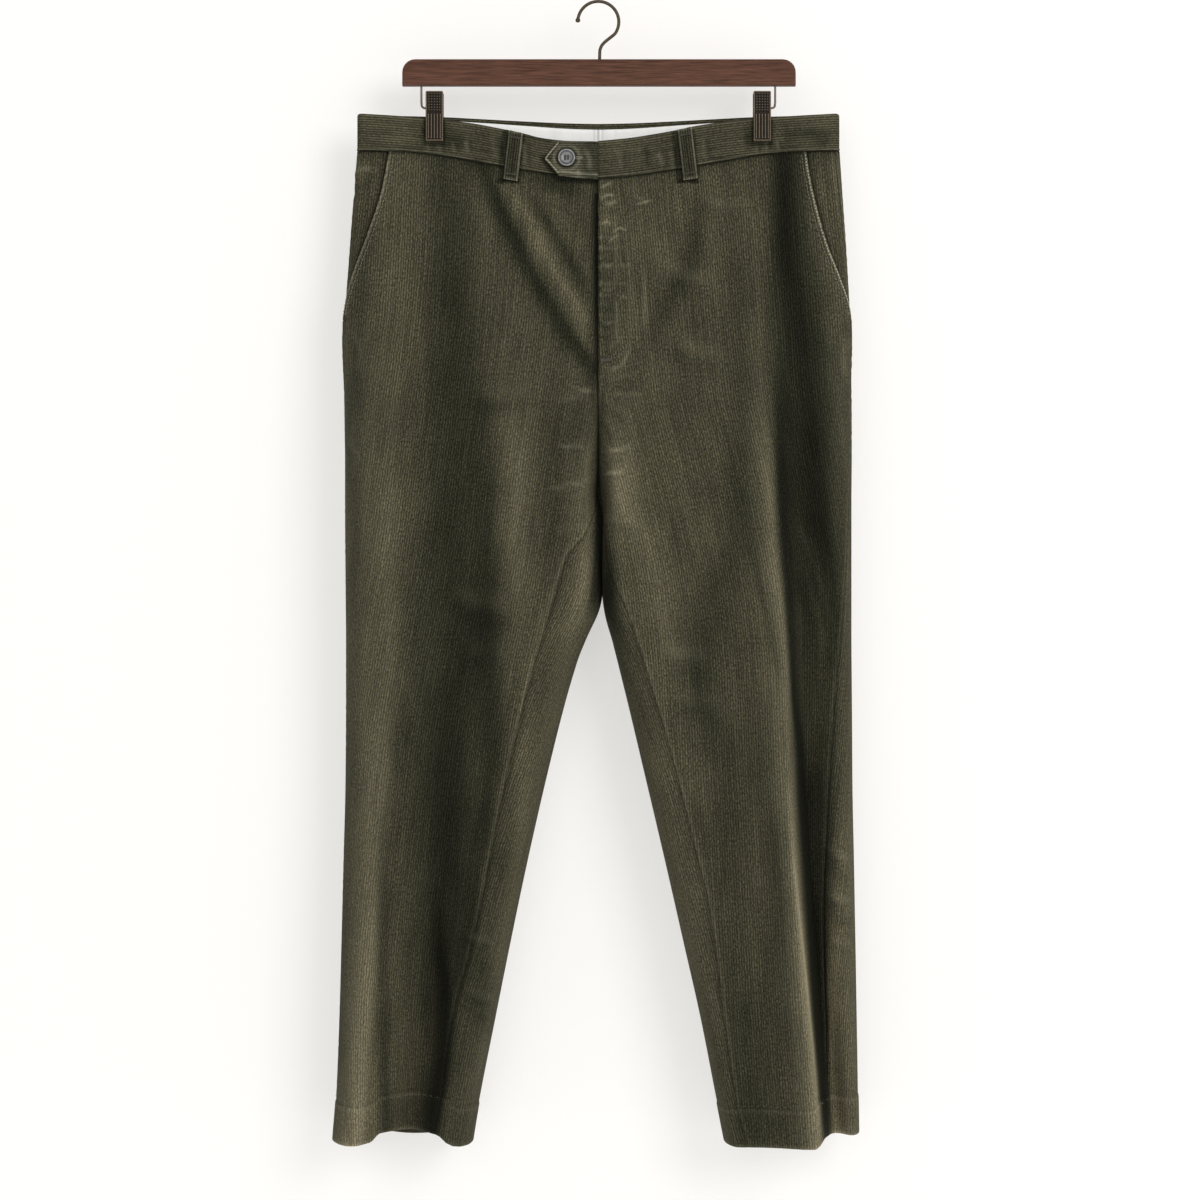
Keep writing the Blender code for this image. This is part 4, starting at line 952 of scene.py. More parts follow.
for seed, half in enumerate(HALVES):
    front, back = panels["front_leg_" + half], panels["back_leg_" + half]
    press_seam(front, front.from_first, 11 + seed, start=FACING_END_DROP)
    press_seam(front, front.from_last, 21 + seed, start=FORK_DROP)
    press_seam(front, front.from_last, 31 + seed, start=FLY_END_DROP, end=FORK_DROP)
    press_seam(back, back.from_last, 41 + seed)
    press_seam(back, back.from_first, 51 + seed)
    press_seam(panels["pocket_facing_" + half], panels["pocket_facing_" + half].from_first,
               61 + seed)
for panel in panels.values():  # no relief where the thighs press on each other
    panel.lift *= 1 - bell(panel.x, 6.0) * step_up(FORK_DROP - 4, FORK_DROP, panel.drop)

# %% The ironed crease and the hem
CREASE_HEIGHT = 0.9
CREASE_FADE = (300.0, 420.0)
for half in HALVES:
    front, back = panels["front_leg_" + half], panels["back_leg_" + half]
    for panel in (front, back):
        near = bell(panel.across, 3.0)
        share = step_up(*CREASE_FADE, panel.drop)
        uneven = 0.7 + 0.3 * ripple(panel.along, 61.0, 7)
        panel.lift += CREASE_HEIGHT * near * share * uneven
        narrow = bell(panel.across, 1.1)
        panel.rub += 0.07 * narrow * share * uneven
        hem_edge = panel.drop[-1][None, :]
        above = hem_edge - panel.drop
        turned = 1 - step_up(HEM_TURN_UP - 2.5, HEM_TURN_UP + 2.0, above)
        panel.lift += 0.75 * turned
        panel.lift -= 0.35 * bell(above - HEM_TURN_UP, 1.8)
        panel.lift += 0.30 * ripple(panel.across + panel.x, 19.0, 5) * np.exp(-above / 24)
        panel.rub += 0.35 * bell(above, 2.0)
        panel.rub += 0.16 * bell(above - HEM_TURN_UP + 3, 2.0)
        panel.shade += 0.35 * bell(above - HEM_TURN_UP, 1.6)

# %% [markdown]
# ## Pocket edges and the fly's edge
# A slanted pocket edge is folded and stitched 4 mm in; handling rubs it and the stitches draw it up
# into ropy ridges. The fly's edge has wider, weaker puckers. Here they are real relief, with painted
# shade in the stitch line and the pucker troughs, painted highlight on the pucker crests and a line
# of painted shade along the fly's edge.

# %% Ropy pocket edges and puckered fly edge
POCKET_STITCH_IN = 4.6
ROPE_PITCH = 5.3
FLY_PUCKER_PITCH = 12.0
FLY_STITCH_IN = 34.0
for seed, half in enumerate(HALVES):
    front = panels["front_leg_" + half]
    at_pocket = 1 - step_up(POCKET_END_DROP - 6, POCKET_END_DROP + 8, front.drop)
    away = front.from_first
    along = front.along
    slanted = along + away * 0.55
    rng = np.random.default_rng(71 + seed)
    wobble = 1.4 * np.sin(along / 17 + rng.uniform(0, 6)) + 0.9 * np.sin(along / 7.3)
    rope = 0.5 + 0.5 * np.sin(2 * math.pi * (slanted + wobble) / ROPE_PITCH)
    band = bell(away - 2.1, 2.0)
    front.lift += at_pocket * band * (0.35 + 0.75 * rope)
    front.lift -= at_pocket * 0.55 * bell(away - POCKET_STITCH_IN, 0.9)
    beyond = step_up(POCKET_STITCH_IN, POCKET_STITCH_IN + 1.5, away) * np.exp(-(away - 4.6) / 7)
    front.lift += at_pocket * 0.42 * beyond * (rope - 0.4)
    edge_rub = bell(away, 2.0) * (0.35 + 0.95 * rope)
    front.rub += at_pocket * (edge_rub + 0.35 * beyond * rope ** 2)
    # Painted shade in the stitch line, where the rope dips.
    front.shade += at_pocket * 0.5 * bell(away - POCKET_STITCH_IN, 1.0) * (1 - rope)

fly = panels["front_leg_right"]
at_fly = 1 - step_up(FLY_END_DROP - 8, FLY_END_DROP + 6, fly.drop)
from_edge = np.abs(fly.x)
waves = ripple(fly.along, FLY_PUCKER_PITCH, 81)
fly.lift += at_fly * (0.75 * waves * np.exp(-from_edge / 13) + 0.35 * bell(from_edge, 2.5))
fly.lift += at_fly * 0.25 * (1 - step_up(FLY_STITCH_IN - 2, FLY_STITCH_IN + 2, from_edge))
fly.rub += at_fly * (0.1 + 0.5 * waves) * bell(from_edge - 1.6, 1.2)
# A line of painted shade along the fly's edge.
fly.painted_shading_and_tone -= at_fly * 1.4 * bell(from_edge, 0.9)
# Painted highlight on the pucker crests and painted shade in their troughs.
fly.rub += at_fly * 0.32 * np.clip(waves, 0, 1) * bell(from_edge, 20)
fly.shade += at_fly * 0.35 * np.clip(-waves, 0, 1) * bell(from_edge, 14)
# Painted shade on the left front beside the fly's edge, where the right front laps over it.
under = panels["front_leg_left"]
under.shade += (1 - step_up(FLY_END_DROP - 8, FLY_END_DROP + 60, under.drop)) * bell(under.x, 7.0)
print("pocket rope and fly puckers added")

# %% [markdown]
# ## Corduroy as a material
# Corduroy has rows of cut pile, the wales, along each piece. Light sinks between them, each takes
# the dye a little differently, and the pile wears pale where it is handled. Wales are too fine to
# model, so they are bump and colour, counted in real cloth metres from the UV map, with painted shade
# in their furrows. The cloth's colour also takes painted light and shade from the mesh. The effects
# are node groups, so that every cloth here can use them with its own values.

# %% Group sockets
def new_group(name, inputs, outputs):
    """An empty shader group with named number sockets, its input and output nodes."""
    group = bpy.data.node_groups.new(name, "ShaderNodeTree")
    for title, value in inputs:
        socket = group.interface.new_socket(name=title, in_out="INPUT", socket_type="NodeSocketFloat")
        socket.default_value = value
    for title, kind in outputs:
        group.interface.new_socket(name=title, in_out="OUTPUT", socket_type=kind)
    given, made = group.nodes.new("NodeGroupInput"), group.nodes.new("NodeGroupOutput")
    return group, given.outputs, made.inputs


def maths(tree, operation, first, second=0.0, third=None):
    inputs = {0: first, 1: second}
    if third is not None:
        inputs[2] = third
    return node(tree, "Math", inputs, operation=operation).outputs[0]


def times(tree, first, second):
    return maths(tree, "MULTIPLY", first, second)


def flat_noise(tree, x, y, detail, roughness):
    place = node(tree, "CombineXYZ", {"X": x, "Y": y}).outputs[0]
    return node(tree, "TexNoise", {
        "Vector": place, "Scale": 1.0, "Detail": detail, "Roughness": roughness,
    }, noise_dimensions="2D").outputs["Fac"]


def cloth_noise(tree, across, along, across_scale, along_scale, detail=2.0):
    """Noise whose grain is stretched along the cloth."""
    return flat_noise(tree, times(tree, across, across_scale), times(tree, along, along_scale),
                      detail, 0.55)


def spread(tree, value, low, high):
    """A value stretched so that low becomes 0 and high becomes 1."""
    return node(tree, "MapRange", {"Value": value, "From Min": low, "From Max": high}).outputs[0]


def marked(tree, title):
    """A mark that the mesh carries: wear and painted highlight, painted shade, or painted light and shade
    in octaves.
    """
    return node(tree, "Attribute", attribute_name=title).outputs["Fac"]


def raise_surface(tree, shader, height, strength, distance):
    bump = node(tree, "Bump", {"Strength": strength, "Distance": distance, "Height": height})
    tree.links.new(bump.outputs[0], shader.inputs["Normal"])


# %% Wales group
def make_wales():
    group, given, made = new_group(
        "cord_wales",
        (("Across", 0.0), ("Along", 0.0), ("Pitch", 0.0025), ("Wander", 0.25), ("Tufts", 0.5)),
        (("Height", "NodeSocketFloat"), ("Tone", "NodeSocketFloat"), ("Pile", "NodeSocketFloat")),
    )
    across, along = given["Across"], given["Along"]
    drift = cloth_noise(group, across, along, 70.0, 16.0, 1.0)
    drift = maths(group, "ADD", drift, cloth_noise(group, across, along, 300.0, 190.0, 2.0))
    drift = times(group, maths(group, "SUBTRACT", drift, 1.0), given["Wander"])
    count = maths(group, "ADD", maths(group, "DIVIDE", across, given["Pitch"]), drift)
    phase = maths(group, "FRACT", count)
    arch = maths(group, "SINE", times(group, phase, math.pi))
    tuft = cloth_noise(group, across, along, 620.0, 400.0, 3.0)
    tuft = spread(group, tuft, 0.30, 0.70)
    low = maths(group, "MULTIPLY_ADD", given["Tufts"], -0.8, 1.0)
    height = times(group, maths(group, "POWER", arch, 0.8),
                   maths(group, "MULTIPLY_ADD", tuft, given["Tufts"], low))
    index = maths(group, "FLOOR", count)
    tone = flat_noise(group, times(group, index, 3.17), times(group, along, 9.0), 3.0, 0.7)
    group.links.new(height, made["Height"])
    group.links.new(tone, made["Tone"])
    group.links.new(tuft, made["Pile"])
    return group


wales_group = make_wales()


# %% Group for pale worn nap and painted highlight
def make_wear_and_highlight():
    group, given, made = new_group(
        "wear_and_highlight_mask",
        (("Rub", 0.0), ("Height", 0.5), ("Across", 0.0), ("Along", 0.0), ("Breakup", 0.8)),
        (("Mask", "NodeSocketFloat"),),
    )
    across, along = given["Across"], given["Along"]
    patch = cloth_noise(group, across, along, 210.0, 110.0, 3.0)
    grain = cloth_noise(group, across, along, 1500.0, 700.0, 1.0)
    uneven = maths(group, "SUBTRACT", maths(group, "ADD", patch, grain), 1.0)
    uneven = maths(group, "MULTIPLY_ADD", uneven, given["Breakup"], 1.0)
    mask = times(group, given["Rub"], uneven)
    mask = times(group, mask, maths(group, "MULTIPLY_ADD", given["Height"], 0.75, 0.40))
    made_mask = node(group, "Clamp", {"Value": mask}).outputs[0]
    group.links.new(made_mask, made["Mask"])
    return group


wear_and_highlight_group = make_wear_and_highlight()


# %% Mottle group: dye and age vary slowly over the cloth
def make_mottle():
    group, given, made = new_group(
        "cloth_mottle",
        (("Across", 0.0), ("Along", 0.0), ("Size", 0.05)),
        (("Value", "NodeSocketFloat"),),
    )
    scale = maths(group, "DIVIDE", 1.0, given["Size"])
    down = times(group, given["Along"], 0.55)
    value = flat_noise(group, times(group, given["Across"], scale), times(group, down, scale), 4.0, 0.6)
    group.links.new(value, made["Value"])
    return group


mottle_group = make_mottle()
print("node groups:", sorted(g.name for g in bpy.data.node_groups))


# %% The corduroy shader
def use_group(tree, group, **values):
    inputs = {name.replace("_", " "): value for name, value in values.items()}
    return node(tree, "Group", inputs, node_tree=group)


def mix_colour(tree, share, first, second):
    first, second = (
        v if isinstance(v, bpy.types.NodeSocket) else (*v, 1.0) for v in (first, second))
    return node(tree, "Mix", {0: share, 6: first, 7: second}, data_type="RGBA").outputs[2]


def new_material(name, roughness=0.9, sheen=0.0, sheen_tint=(1.0, 1.0, 1.0)):
    material = bpy.data.materials.new(name)
    material.use_nodes = True
    shader = material.node_tree.nodes["Principled BSDF"]
    preset(shader, Roughness=roughness, Sheen_Weight=sheen, Sheen_Roughness=0.55,
           Sheen_Tint=(*sheen_tint, 1.0))
    return material, material.node_tree, shader


def cloth_place(tree):
    """Metres across and along the cloth, from its UV map."""
    uv = node(tree, "UVMap", uv_map="cloth").outputs[0]
    split = node(tree, "SeparateXYZ", {0: uv})
    return split.outputs["X"], split.outputs["Y"]


def corduroy(name, deep, body, lit, pale, pitch=0.0025, relief=0.8, tufts=0.5, wander=0.22):
    """Corduroy from four colours: painted shade between wales, the pile, its bright wales, and the pale of
    worn nap and painted highlights.
    """
    material, tree, shader = new_material(name, 0.95, 0.03, (0.62, 0.60, 0.46))
    preset(shader, Specular_IOR_Level=0.05)
    across, along = cloth_place(tree)
    wales = use_group(tree, wales_group, Across=across, Along=along, Pitch=pitch,
                      Wander=wander, Tufts=tufts)
    mottle = use_group(tree, mottle_group, Across=across, Along=along, Size=0.055).outputs[0]
    tone = maths(tree, "MULTIPLY_ADD", wales.outputs["Pile"], 0.42,
                 times(tree, wales.outputs["Tone"], 0.7))
    tone = maths(tree, "MULTIPLY_ADD", mottle, 0.8, tone)
    cloth = mix_colour(tree, spread(tree, tone, 0.62, 1.24), body, lit)
    # Painted shade between the wales.
    cloth = mix_colour(tree, wales.outputs["Height"], deep, cloth)
    # Painted shade from the mesh's shade marks, towards a darker DEEP.
    dark = node(tree, "Clamp", {"Value": times(tree, marked(tree, "shade"), 0.75)})
    cloth = mix_colour(tree, dark.outputs[0], cloth, tuple(0.62 * v for v in deep))
    # Paler for worn nap, and for painted highlights on crests, ridges and puckers.
    worn = use_group(tree, wear_and_highlight_group, Rub=marked(tree, "rub"), Height=wales.outputs["Height"],
                     Across=across, Along=along, Breakup=0.95)
    cloth = mix_colour(tree, worn.outputs["Mask"], cloth, pale)
    # Painted light and shade from the mesh, in octaves of brightness; red changes a little more, so painted
    # shade turns greener.
    painted_shading_and_tone = marked(tree, "painted_shading_and_tone")
    green = maths(tree, "POWER", 2.0, painted_shading_and_tone)
    octaves = node(tree, "CombineXYZ", {
        "X": maths(tree, "POWER", 2.1, painted_shading_and_tone), "Y": green, "Z": green})
    painted_cloth_colour = node(tree, "VectorMath", {
        0: cloth, 1: octaves.outputs[0]}, operation="MULTIPLY")
    tree.links.new(painted_cloth_colour.outputs[0], shader.inputs["Base Color"])
    raise_surface(tree, shader, wales.outputs["Height"], relief, 0.0007)
    return material


# DEEP is painted shade between wales, BODY and LIT the pile's random tones, PALE worn nap and painted
# highlight.
DEEP = (0.0165, 0.0160, 0.0100)
BODY = (0.0435, 0.0408, 0.0255)
LIT = (0.128, 0.1180, 0.0725)
PALE = (0.235, 0.218, 0.145)
leg_cord = corduroy("leg_corduroy", DEEP, BODY, LIT, PALE, tufts=0.75, wander=0.75)
band_cord = corduroy(
    "waistband_corduroy", (0.006, 0.006, 0.0038), (0.031, 0.0295, 0.0185), (0.118, 0.110, 0.066),
    PALE, pitch=0.0024, relief=1.0, tufts=0.35,
)
tab_cord = corduroy(
    "tab_corduroy", (0.006, 0.006, 0.0038), (0.036, 0.034, 0.0215), (0.112, 0.104, 0.064),
    (0.36, 0.34, 0.235), relief=1.0, tufts=0.4,
)


# %% The wrong side and plain weaves
def plain_weave(name, dark, light, pitch, roughness=0.9, relief=0.3):
    """A flat weave: crossed threads with a little mottle."""
    material, tree, shader = new_material(name, roughness, 0.05)
    preset(shader, Specular_IOR_Level=0.2)
    across, along = cloth_place(tree)
    turns = 2 * math.pi / pitch
    warp = maths(tree, "SINE", times(tree, across, turns))
    weft = maths(tree, "SINE", times(tree, along, turns))
    weave = maths(tree, "MULTIPLY_ADD", times(tree, warp, weft), 0.5, 0.5)
    mottle = use_group(tree, mottle_group, Across=across, Along=along, Size=0.03).outputs[0]
    share = maths(tree, "ADD", times(tree, weave, 0.45), times(tree, mottle, 0.55))
    # Painted light and shade from the mesh, in octaves of brightness.
    painted_shading_and_tone = marked(tree, "painted_shading_and_tone")
    painted_weave_colour = node(tree, "VectorMath", {
        0: mix_colour(tree, share, dark, light), "Scale": maths(tree, "POWER", 2.0, painted_shading_and_tone),
    }, operation="SCALE")
    tree.links.new(painted_weave_colour.outputs[0], shader.inputs["Base Color"])
    raise_surface(tree, shader, weave, relief, 0.0003)
    return material


wrong_side = plain_weave("corduroy_wrong_side", (0.024, 0.023, 0.015), (0.050, 0.046, 0.030), 0.0008)
lining_cotton = plain_weave("lining_cotton", (0.80, 0.80, 0.785), (0.93, 0.93, 0.92), 0.0007)
zip_weave = plain_weave("zip_tape", (0.030, 0.030, 0.021), (0.065, 0.064, 0.045), 0.0012)
print("cloth materials ready")

# %% [markdown]
# ## Sewing the shells
# Every cut piece is a closed wall: an outer face, an inner face one cloth thickness below it, and a
# rim that bulges where the cloth is folded under. The cloth's own metres are its UV map, and three
# attributes tell the material how worn or painted with highlight each point is, how much painted
# shade it has, and its painted light and shade in octaves.

# %% Shell maker
EDGES = {  # where each edge is in a net, and the row or column beside it
    "first_column": (np.s_[:, 0], np.s_[:, 1]), "last_column": (np.s_[:, -1], np.s_[:, -2]),
    "first_row": (np.s_[0], np.s_[1]), "last_row": (np.s_[-1], np.s_[-2]),
}


def normals_out(mesh):
    bm = bmesh.new()
    bm.from_mesh(mesh)
    bmesh.ops.recalc_face_normals(bm, faces=bm.faces)
    bm.to_mesh(mesh)
    bm.free()


def on_root(thing):
    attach(thing, "root")
    return thing


def rim_push(outer, rounded):
    """For each point, which way and how far a folded edge bulges."""
    push = np.zeros_like(outer)
    for edge, amount in rounded.items():
        at, inside = EDGES[edge]
        way = outer[at] - outer[inside]
        length = np.maximum(np.linalg.norm(way, axis=-1, keepdims=True), 1e-6)
        size = amount[:, None] if isinstance(amount, np.ndarray) else amount
        push[at] += size * way / length
    return push


def shell(name, outer, inner, panel, materials, rounded=None):
    """A closed wall of cloth between two nets of points in millimetres."""
    rows, cols = outer.shape[:2]
    size = rows * cols
    top = quads(rows, cols)
    ring = list(range(cols)) + [r * cols + cols - 1 for r in range(1, rows)]
    ring += [(rows - 1) * cols + c for c in range(cols - 2, -1, -1)]
    ring += [r * cols for r in range(rows - 2, 0, -1)]
    ring = np.array(ring)
    push = rim_push(outer, rounded or {}).reshape(-1, 3)[ring]
    middle = (outer.reshape(-1, 3)[ring] + inner.reshape(-1, 3)[ring]) / 2 + push
    points = np.concatenate([outer.reshape(-1, 3), inner.reshape(-1, 3), middle]) * MM
    mid = np.arange(len(ring)) + 2 * size
    after, mid_after = np.roll(ring, -1), np.roll(mid, -1)
    rim = np.concatenate([
        np.stack([after, ring, mid, mid_after], 1),
        np.stack([mid_after, mid, ring + size, after + size], 1),
    ])
    faces = np.concatenate([top, top[:, ::-1] + size, rim])
    thing = add_mesh(name, points.tolist(), faces.tolist(), *materials)
    mesh = thing.data
    index = np.zeros(len(faces), np.int32)
    index[len(top):2 * len(top)] = len(materials) - 1
    mesh.polygons.foreach_set("material_index", index)
    flat = panel.cloth.reshape(-1, 2)
    flat = np.concatenate([flat, flat, flat[ring]]) * MM
    uv = mesh.uv_layers.new(name="cloth")
    uv.data.foreach_set("uv", flat[faces.ravel()].astype(np.float32).ravel())
    for title in ("rub", "shade", "painted_shading_and_tone"):
        values = np.clip(getattr(panel, title).ravel(), -3 if title == "painted_shading_and_tone" else 0, 1.5)
        values = np.concatenate([values, values * 0, values[ring]])
        attribute = mesh.attributes.new(title, "FLOAT", "POINT")
        attribute.data.foreach_set("value", values.astype(np.float32))
    mesh.shade_smooth()
    normals_out(mesh)
    return on_root(thing)

# %% [markdown]
# ## Crests and hollows
# Where the cloth stands proud its colour is made paler, partly as worn nap and partly as painted
# highlight, and where it sinks it gets painted shade. Each row of a panel is compared with its own
# broad average, so this follows the folds.

# %% Painted highlight on crests and painted shade in hollows, from the form
CREST_REACH = 46.0  # how wide the broad average is


def crest_and_hollow(panel, crest=0.16, hollow=0.55):
    reach = int(CREST_REACH / 2)
    window = np.hanning(2 * reach + 1)
    window /= window.sum()
    for r, row in enumerate(panel.grid):
        place = panel.from_first[r]
        even = np.arange(0, place[-1] + 1.0, 2.0)
        proud = np.zeros(len(place))
        for k in (0, 1):
            values = np.interp(even, place, row[:, k])
            broad = np.convolve(np.pad(values, reach, mode="edge"), window, mode="valid")
            proud += np.interp(place, even, values - broad) * panel.way[r, :, k]
        ends = step_up(0, CREST_REACH, place) * step_up(0, CREST_REACH, place[-1] - place)
        panel.rub[r] += crest * ends * np.clip(proud / 5.0, 0, 1)
        panel.shade[r] += hollow * ends * np.clip(-proud / 7.0, 0, 1) ** 1.2


for panel in panels.values():
    if panel.kind != "pocket_facing":
        crest_and_hollow(panel)
print("crests and hollows marked")

# %% [markdown]
# ## Painted light and shade
# The folds alone shade too softly, so long soft bands of painted light and shade run down the legs:
# painted shade in troughs and beside sharp ridges, painted light on lit sides. They are listed like
# the folds, with a strength in octaves of brightness (below 0 is darker) for a height.

# %% Bands of painted light and shade on the front: drop, out, octaves, reach outward, reach inward
FRONT_PAINTED_LIGHT_AND_SHADE = {
    "left": table("""
long shade: 150 148 -.4 26 26, 297 140 -.8 30 24, 377 133 -1.1 32 16, 417 136 -1.3 30 18,
497 138 -1.1 34 22, 577 143 -1.3 34 36, 657 133 -1.4 42 28, 697 146 -1.7 30 32, 747 151 -1.9 26 24,
847 153 -1.95 24, 897 148 -1.7 30 26, 947 155 -1.7 28 24, 1047 158 -1.1 18 16, 1097 166 -1.2 14 14,
1137 168 -.9 14 12;
inner shade: 370 117 -.2 12 8, 447 113 -.6 12 10, 547 110 -.7, 647 108 -.9 14, 747 104 -1.2 14 12,
797 110 -.9 12 8, 847 117 -.9, 917 125 -1.1 8 6, 957 132 -.8, 1000 140 0;
low fold: 880 161 -.3 8 6, 947 156 -1.2, 997 151 -1.7, 1047 152 -1.9 9, 1097 159 -2.1 11,
1137 163 -1.8 12 5;
lobe edge: 780 210 0 6 7, 847 213 -.4, 947 213 -.6 5, 1047 212 -1 5 6, 1137 211 -1.2;
tab shade: 150 117 -.8 12 12, 177 109 -1.5 11 9, 212 94 -1.8 11 7, 237 82 -1.8 12, 259 72 -1.6,
287 57 -1.5 11, 312 41 -1.4, 337 26 -1.6 12, 360 11 -1.4, 374 5 -.7 10, 400 14 -.3 12 10, 467 20 -.4,
510 22 0;
tab light: 175 92 0 7 7, 205 74 .6, 237 59 .55 8, 272 42 .6, 297 25 .7 7, 330 10 0 6 6;
tab lee: 185 68 0 7 7, 212 54 -.9, 257 30 -1, 290 12 -.7, 320 5 0;
seat shade: 150 150 0 22 24, 220 148 -.35, 330 150 -.3 20 22, 420 160 -.3 20 20, 560 166 -.3 18 18,
647 184 -.45, 800 186 -.5 20, 880 190 -.3 18, 960 190 0;
drag foot: 290 40 0 16 14, 347 42 -.5, 400 40 -.35 18 16, 500 44 -.4 14, 590 44 -.3 12 14, 640 50 0;
inner light: 600 74 0 8 8, 680 69 .35, 740 74 .5, 790 76 .4, 850 85 0;
thigh rim: 430 10 0 5 4, 480 9 .5 6 3.5, 540 10 .5, 600 14 0 6 4;
thigh light: 380 88 0 14 12, 420 86 .35, 540 84 .35, 600 82 0;
second tab shade: 150 42 -1.3 26 22, 175 38 -1.2 22, 192 22 -.3 16 20, 250 8 -.2 11 12, 300 6 0 8 8;
fly edge shade: 180 1 -2 3.2 3, 250 1 -2.6, 310 1 -2.2 2.6, 360 .5 -1.2 1.6, 430 .5 -2, 490 .5 -2.8 2,
560 1 -3 2.6, 590 3 -2.4 4 4, 616 7 0;
hip shade: 170 226 -.3 8 8, 297 236 -.7 8 10, 367 238 -.8, 430 240 0;
inner rim: 520 12 0 10 10, 577 16 .5 10 12, 617 26 .4 12 14, 657 45 0, 697 58 -.2 12 12, 760 74 -.15,
847 94 -.7 12 10, 897 103 -.55, 947 112 -.7, 997 115 -.95 13, 1047 126 -.6 14 12, 1137 138 -.6 16;
outer lobe: 700 218 0 12 12, 797 222 .4 14 14, 897 226 .45, 997 230 .5, 1097 234 .8 16, 1137 242 1 18;
outer edge: 330 246 0 9 9, 400 244 -.4 9 11, 450 243 -.6, 520 242 -.4 9 9, 640 240 -.2, 900 250 -.3 9 6,
1040 256 -.3, 1100 258 0;
flank light: 460 205 0 14 14, 560 208 .3, 660 200 .25 10, 720 176 .2 8 10, 800 168 0"""),
    "right": table("""
ridge shade: 150 182 -1 14 13, 250 180 -1.1 15, 347 180 -.9 14 12, 447 180 -1.9 11 5.5, 497 181 -2.5 12 4.5,
547 184 -2.3 11 4, 597 188 -2.4 8 3.6, 647 191 -2.6 7 3.2, 697 194 -3 6 3, 747 200 -3.2 5.5 4,
797 202 -3 5.5 3.4, 897 210.5 -3.6 5.5 4.4, 997 217 -4 5.5 4.6, 1097 223.5 -3.4 5.5 4, 1137 225 -2.4 5.5 3;
ridge light: 430 168 0 4 8, 497 170 .45, 600 178 .3, 697 187 .25 3.5, 797 192 .55 4, 897 199 1 4 9,
997 207 1.1 4 8, 1077 214 1, 1137 216 .8;
long shade: 150 188 -1.2 20 14, 217 188 -1.8 20 12, 297 197 -2.1 24 14, 377 205 -1.9 28 18,
417 211 -1.7 26 24, 497 210 -1.9 28 22, 577 207 -1.6 24 12, 617 212 -1 30, 697 211 -.6 32 9,
747 212 -.7 26 8, 797 212 -1.6 18, 897 221 -1.7 11 7, 947 222 -1.9 9 6, 997 223 -1.8 8 5, 1047 225 -1 7,
1097 228 -.6, 1137 228 0;
outer shade: 400 219 0 12 12, 447 218 -.4, 497 221 -.6 10, 547 227 -1.2 11 9, 597 233 -1 9 8,
647 234 -.9 7 7, 697 233 -.5 5 6, 797 232 -.4, 880 232 0;
mid shade: 220 137 0 20 20, 297 137 -.4, 457 140 -.8 14 14, 537 140 -.7 16 16, 597 112 -.5 26 26,
657 99 -.85 24 14, 697 100 -.9 26, 747 122 -.6 34 26, 897 130 -.6 24 24, 1047 148 -.9 28,
1097 146 -1.1 28 22, 1137 146 -.8;
crease side: 430 130 0 6 4, 527 148 -.2 5, 577 158 -.5 6, 647 173 -.6, 690 180 0;
low shade: 680 152 0 12 12, 720 156 -.5, 790 166 -.4, 847 175 -.9 10, 917 178 -.8, 997 184 -.4 12 14,
1137 190 -.3 14;
fly drag: 165 104 0 12 12, 200 102 -.5, 262 90 -.7, 297 72 -.6, 337 52 -.5, 385 30 -.4 14, 410 24 0 12;
hip shade: 160 134 0 10 10, 200 134 -.35 10 12, 262 138 -.35, 290 140 0 10 10;
inner bright: 400 22 0 20 10, 497 20 .6, 537 52 .5 16 16, 577 60 .3, 657 70 .3 14 14, 700 74 0;
fork line: 400 .5 0 1.6 3, 440 .5 -1.6, 540 .5 -2.2 2, 590 1 -1, 610 4 0;
rolled light: 500 198 0 6 6, 540 204 .6, 580 210 .8, 620 218 .6, 655 227 0;
knee light: 740 95 0 20 16, 790 104 .35 22 18, 850 108 0;
fly strip: 195 8 0 12 10, 215 9 .6 11 8, 235 8 0 12, 275 5 -.5 10, 318 11 -.8 12 10, 345 10 -.5, 372 10 0;
crotch shade: 520 4 -.6 6 5, 545 7 -1.6 7, 570 9 -2.4 9 7, 587 9 -2.8 9 8, 612 13 -2.2 7, 640 24 -.6 10 10,
690 40 0;
outer rim: 800 240 0 8 8, 860 238 .4 9 9, 897 233 .9 8 8, 947 231 1.6 7 7, 1047 232 1.7 8 6,
1137 238 1.3 12 10"""),
}


def painted_fold_shading(half, x, drop):
    """Octaves of painted light and shade over a front panel, row by row."""
    total = np.zeros(x.shape)
    for r in range(len(x)):
        total[r] = folds(FRONT_PAINTED_LIGHT_AND_SHADE[half], np.abs(x[r]), float(np.median(drop[r])))
    return total


def around(panel, path, width, octaves):
    """Painted shade along a path of (x, drop), on its own half of the front."""
    mark = stroke(panel.x, panel.drop, path, width, 0)
    panel.painted_shading_and_tone -= octaves * mark * (panel.grid[:, :, 1] < 0)


# %% Painted shadow lines around what stands proud of the cloth
TAB_OUTLINE = ((-38, 149), (-55, 157.6), (-39.5, 178), (-1, 180.5))
CLIP_OUTLINE = ((CLIP_OUT - 9, 118), (CLIP_OUT - 9, 142), (CLIP_OUT + 9, 142), (CLIP_OUT + 9, 118))


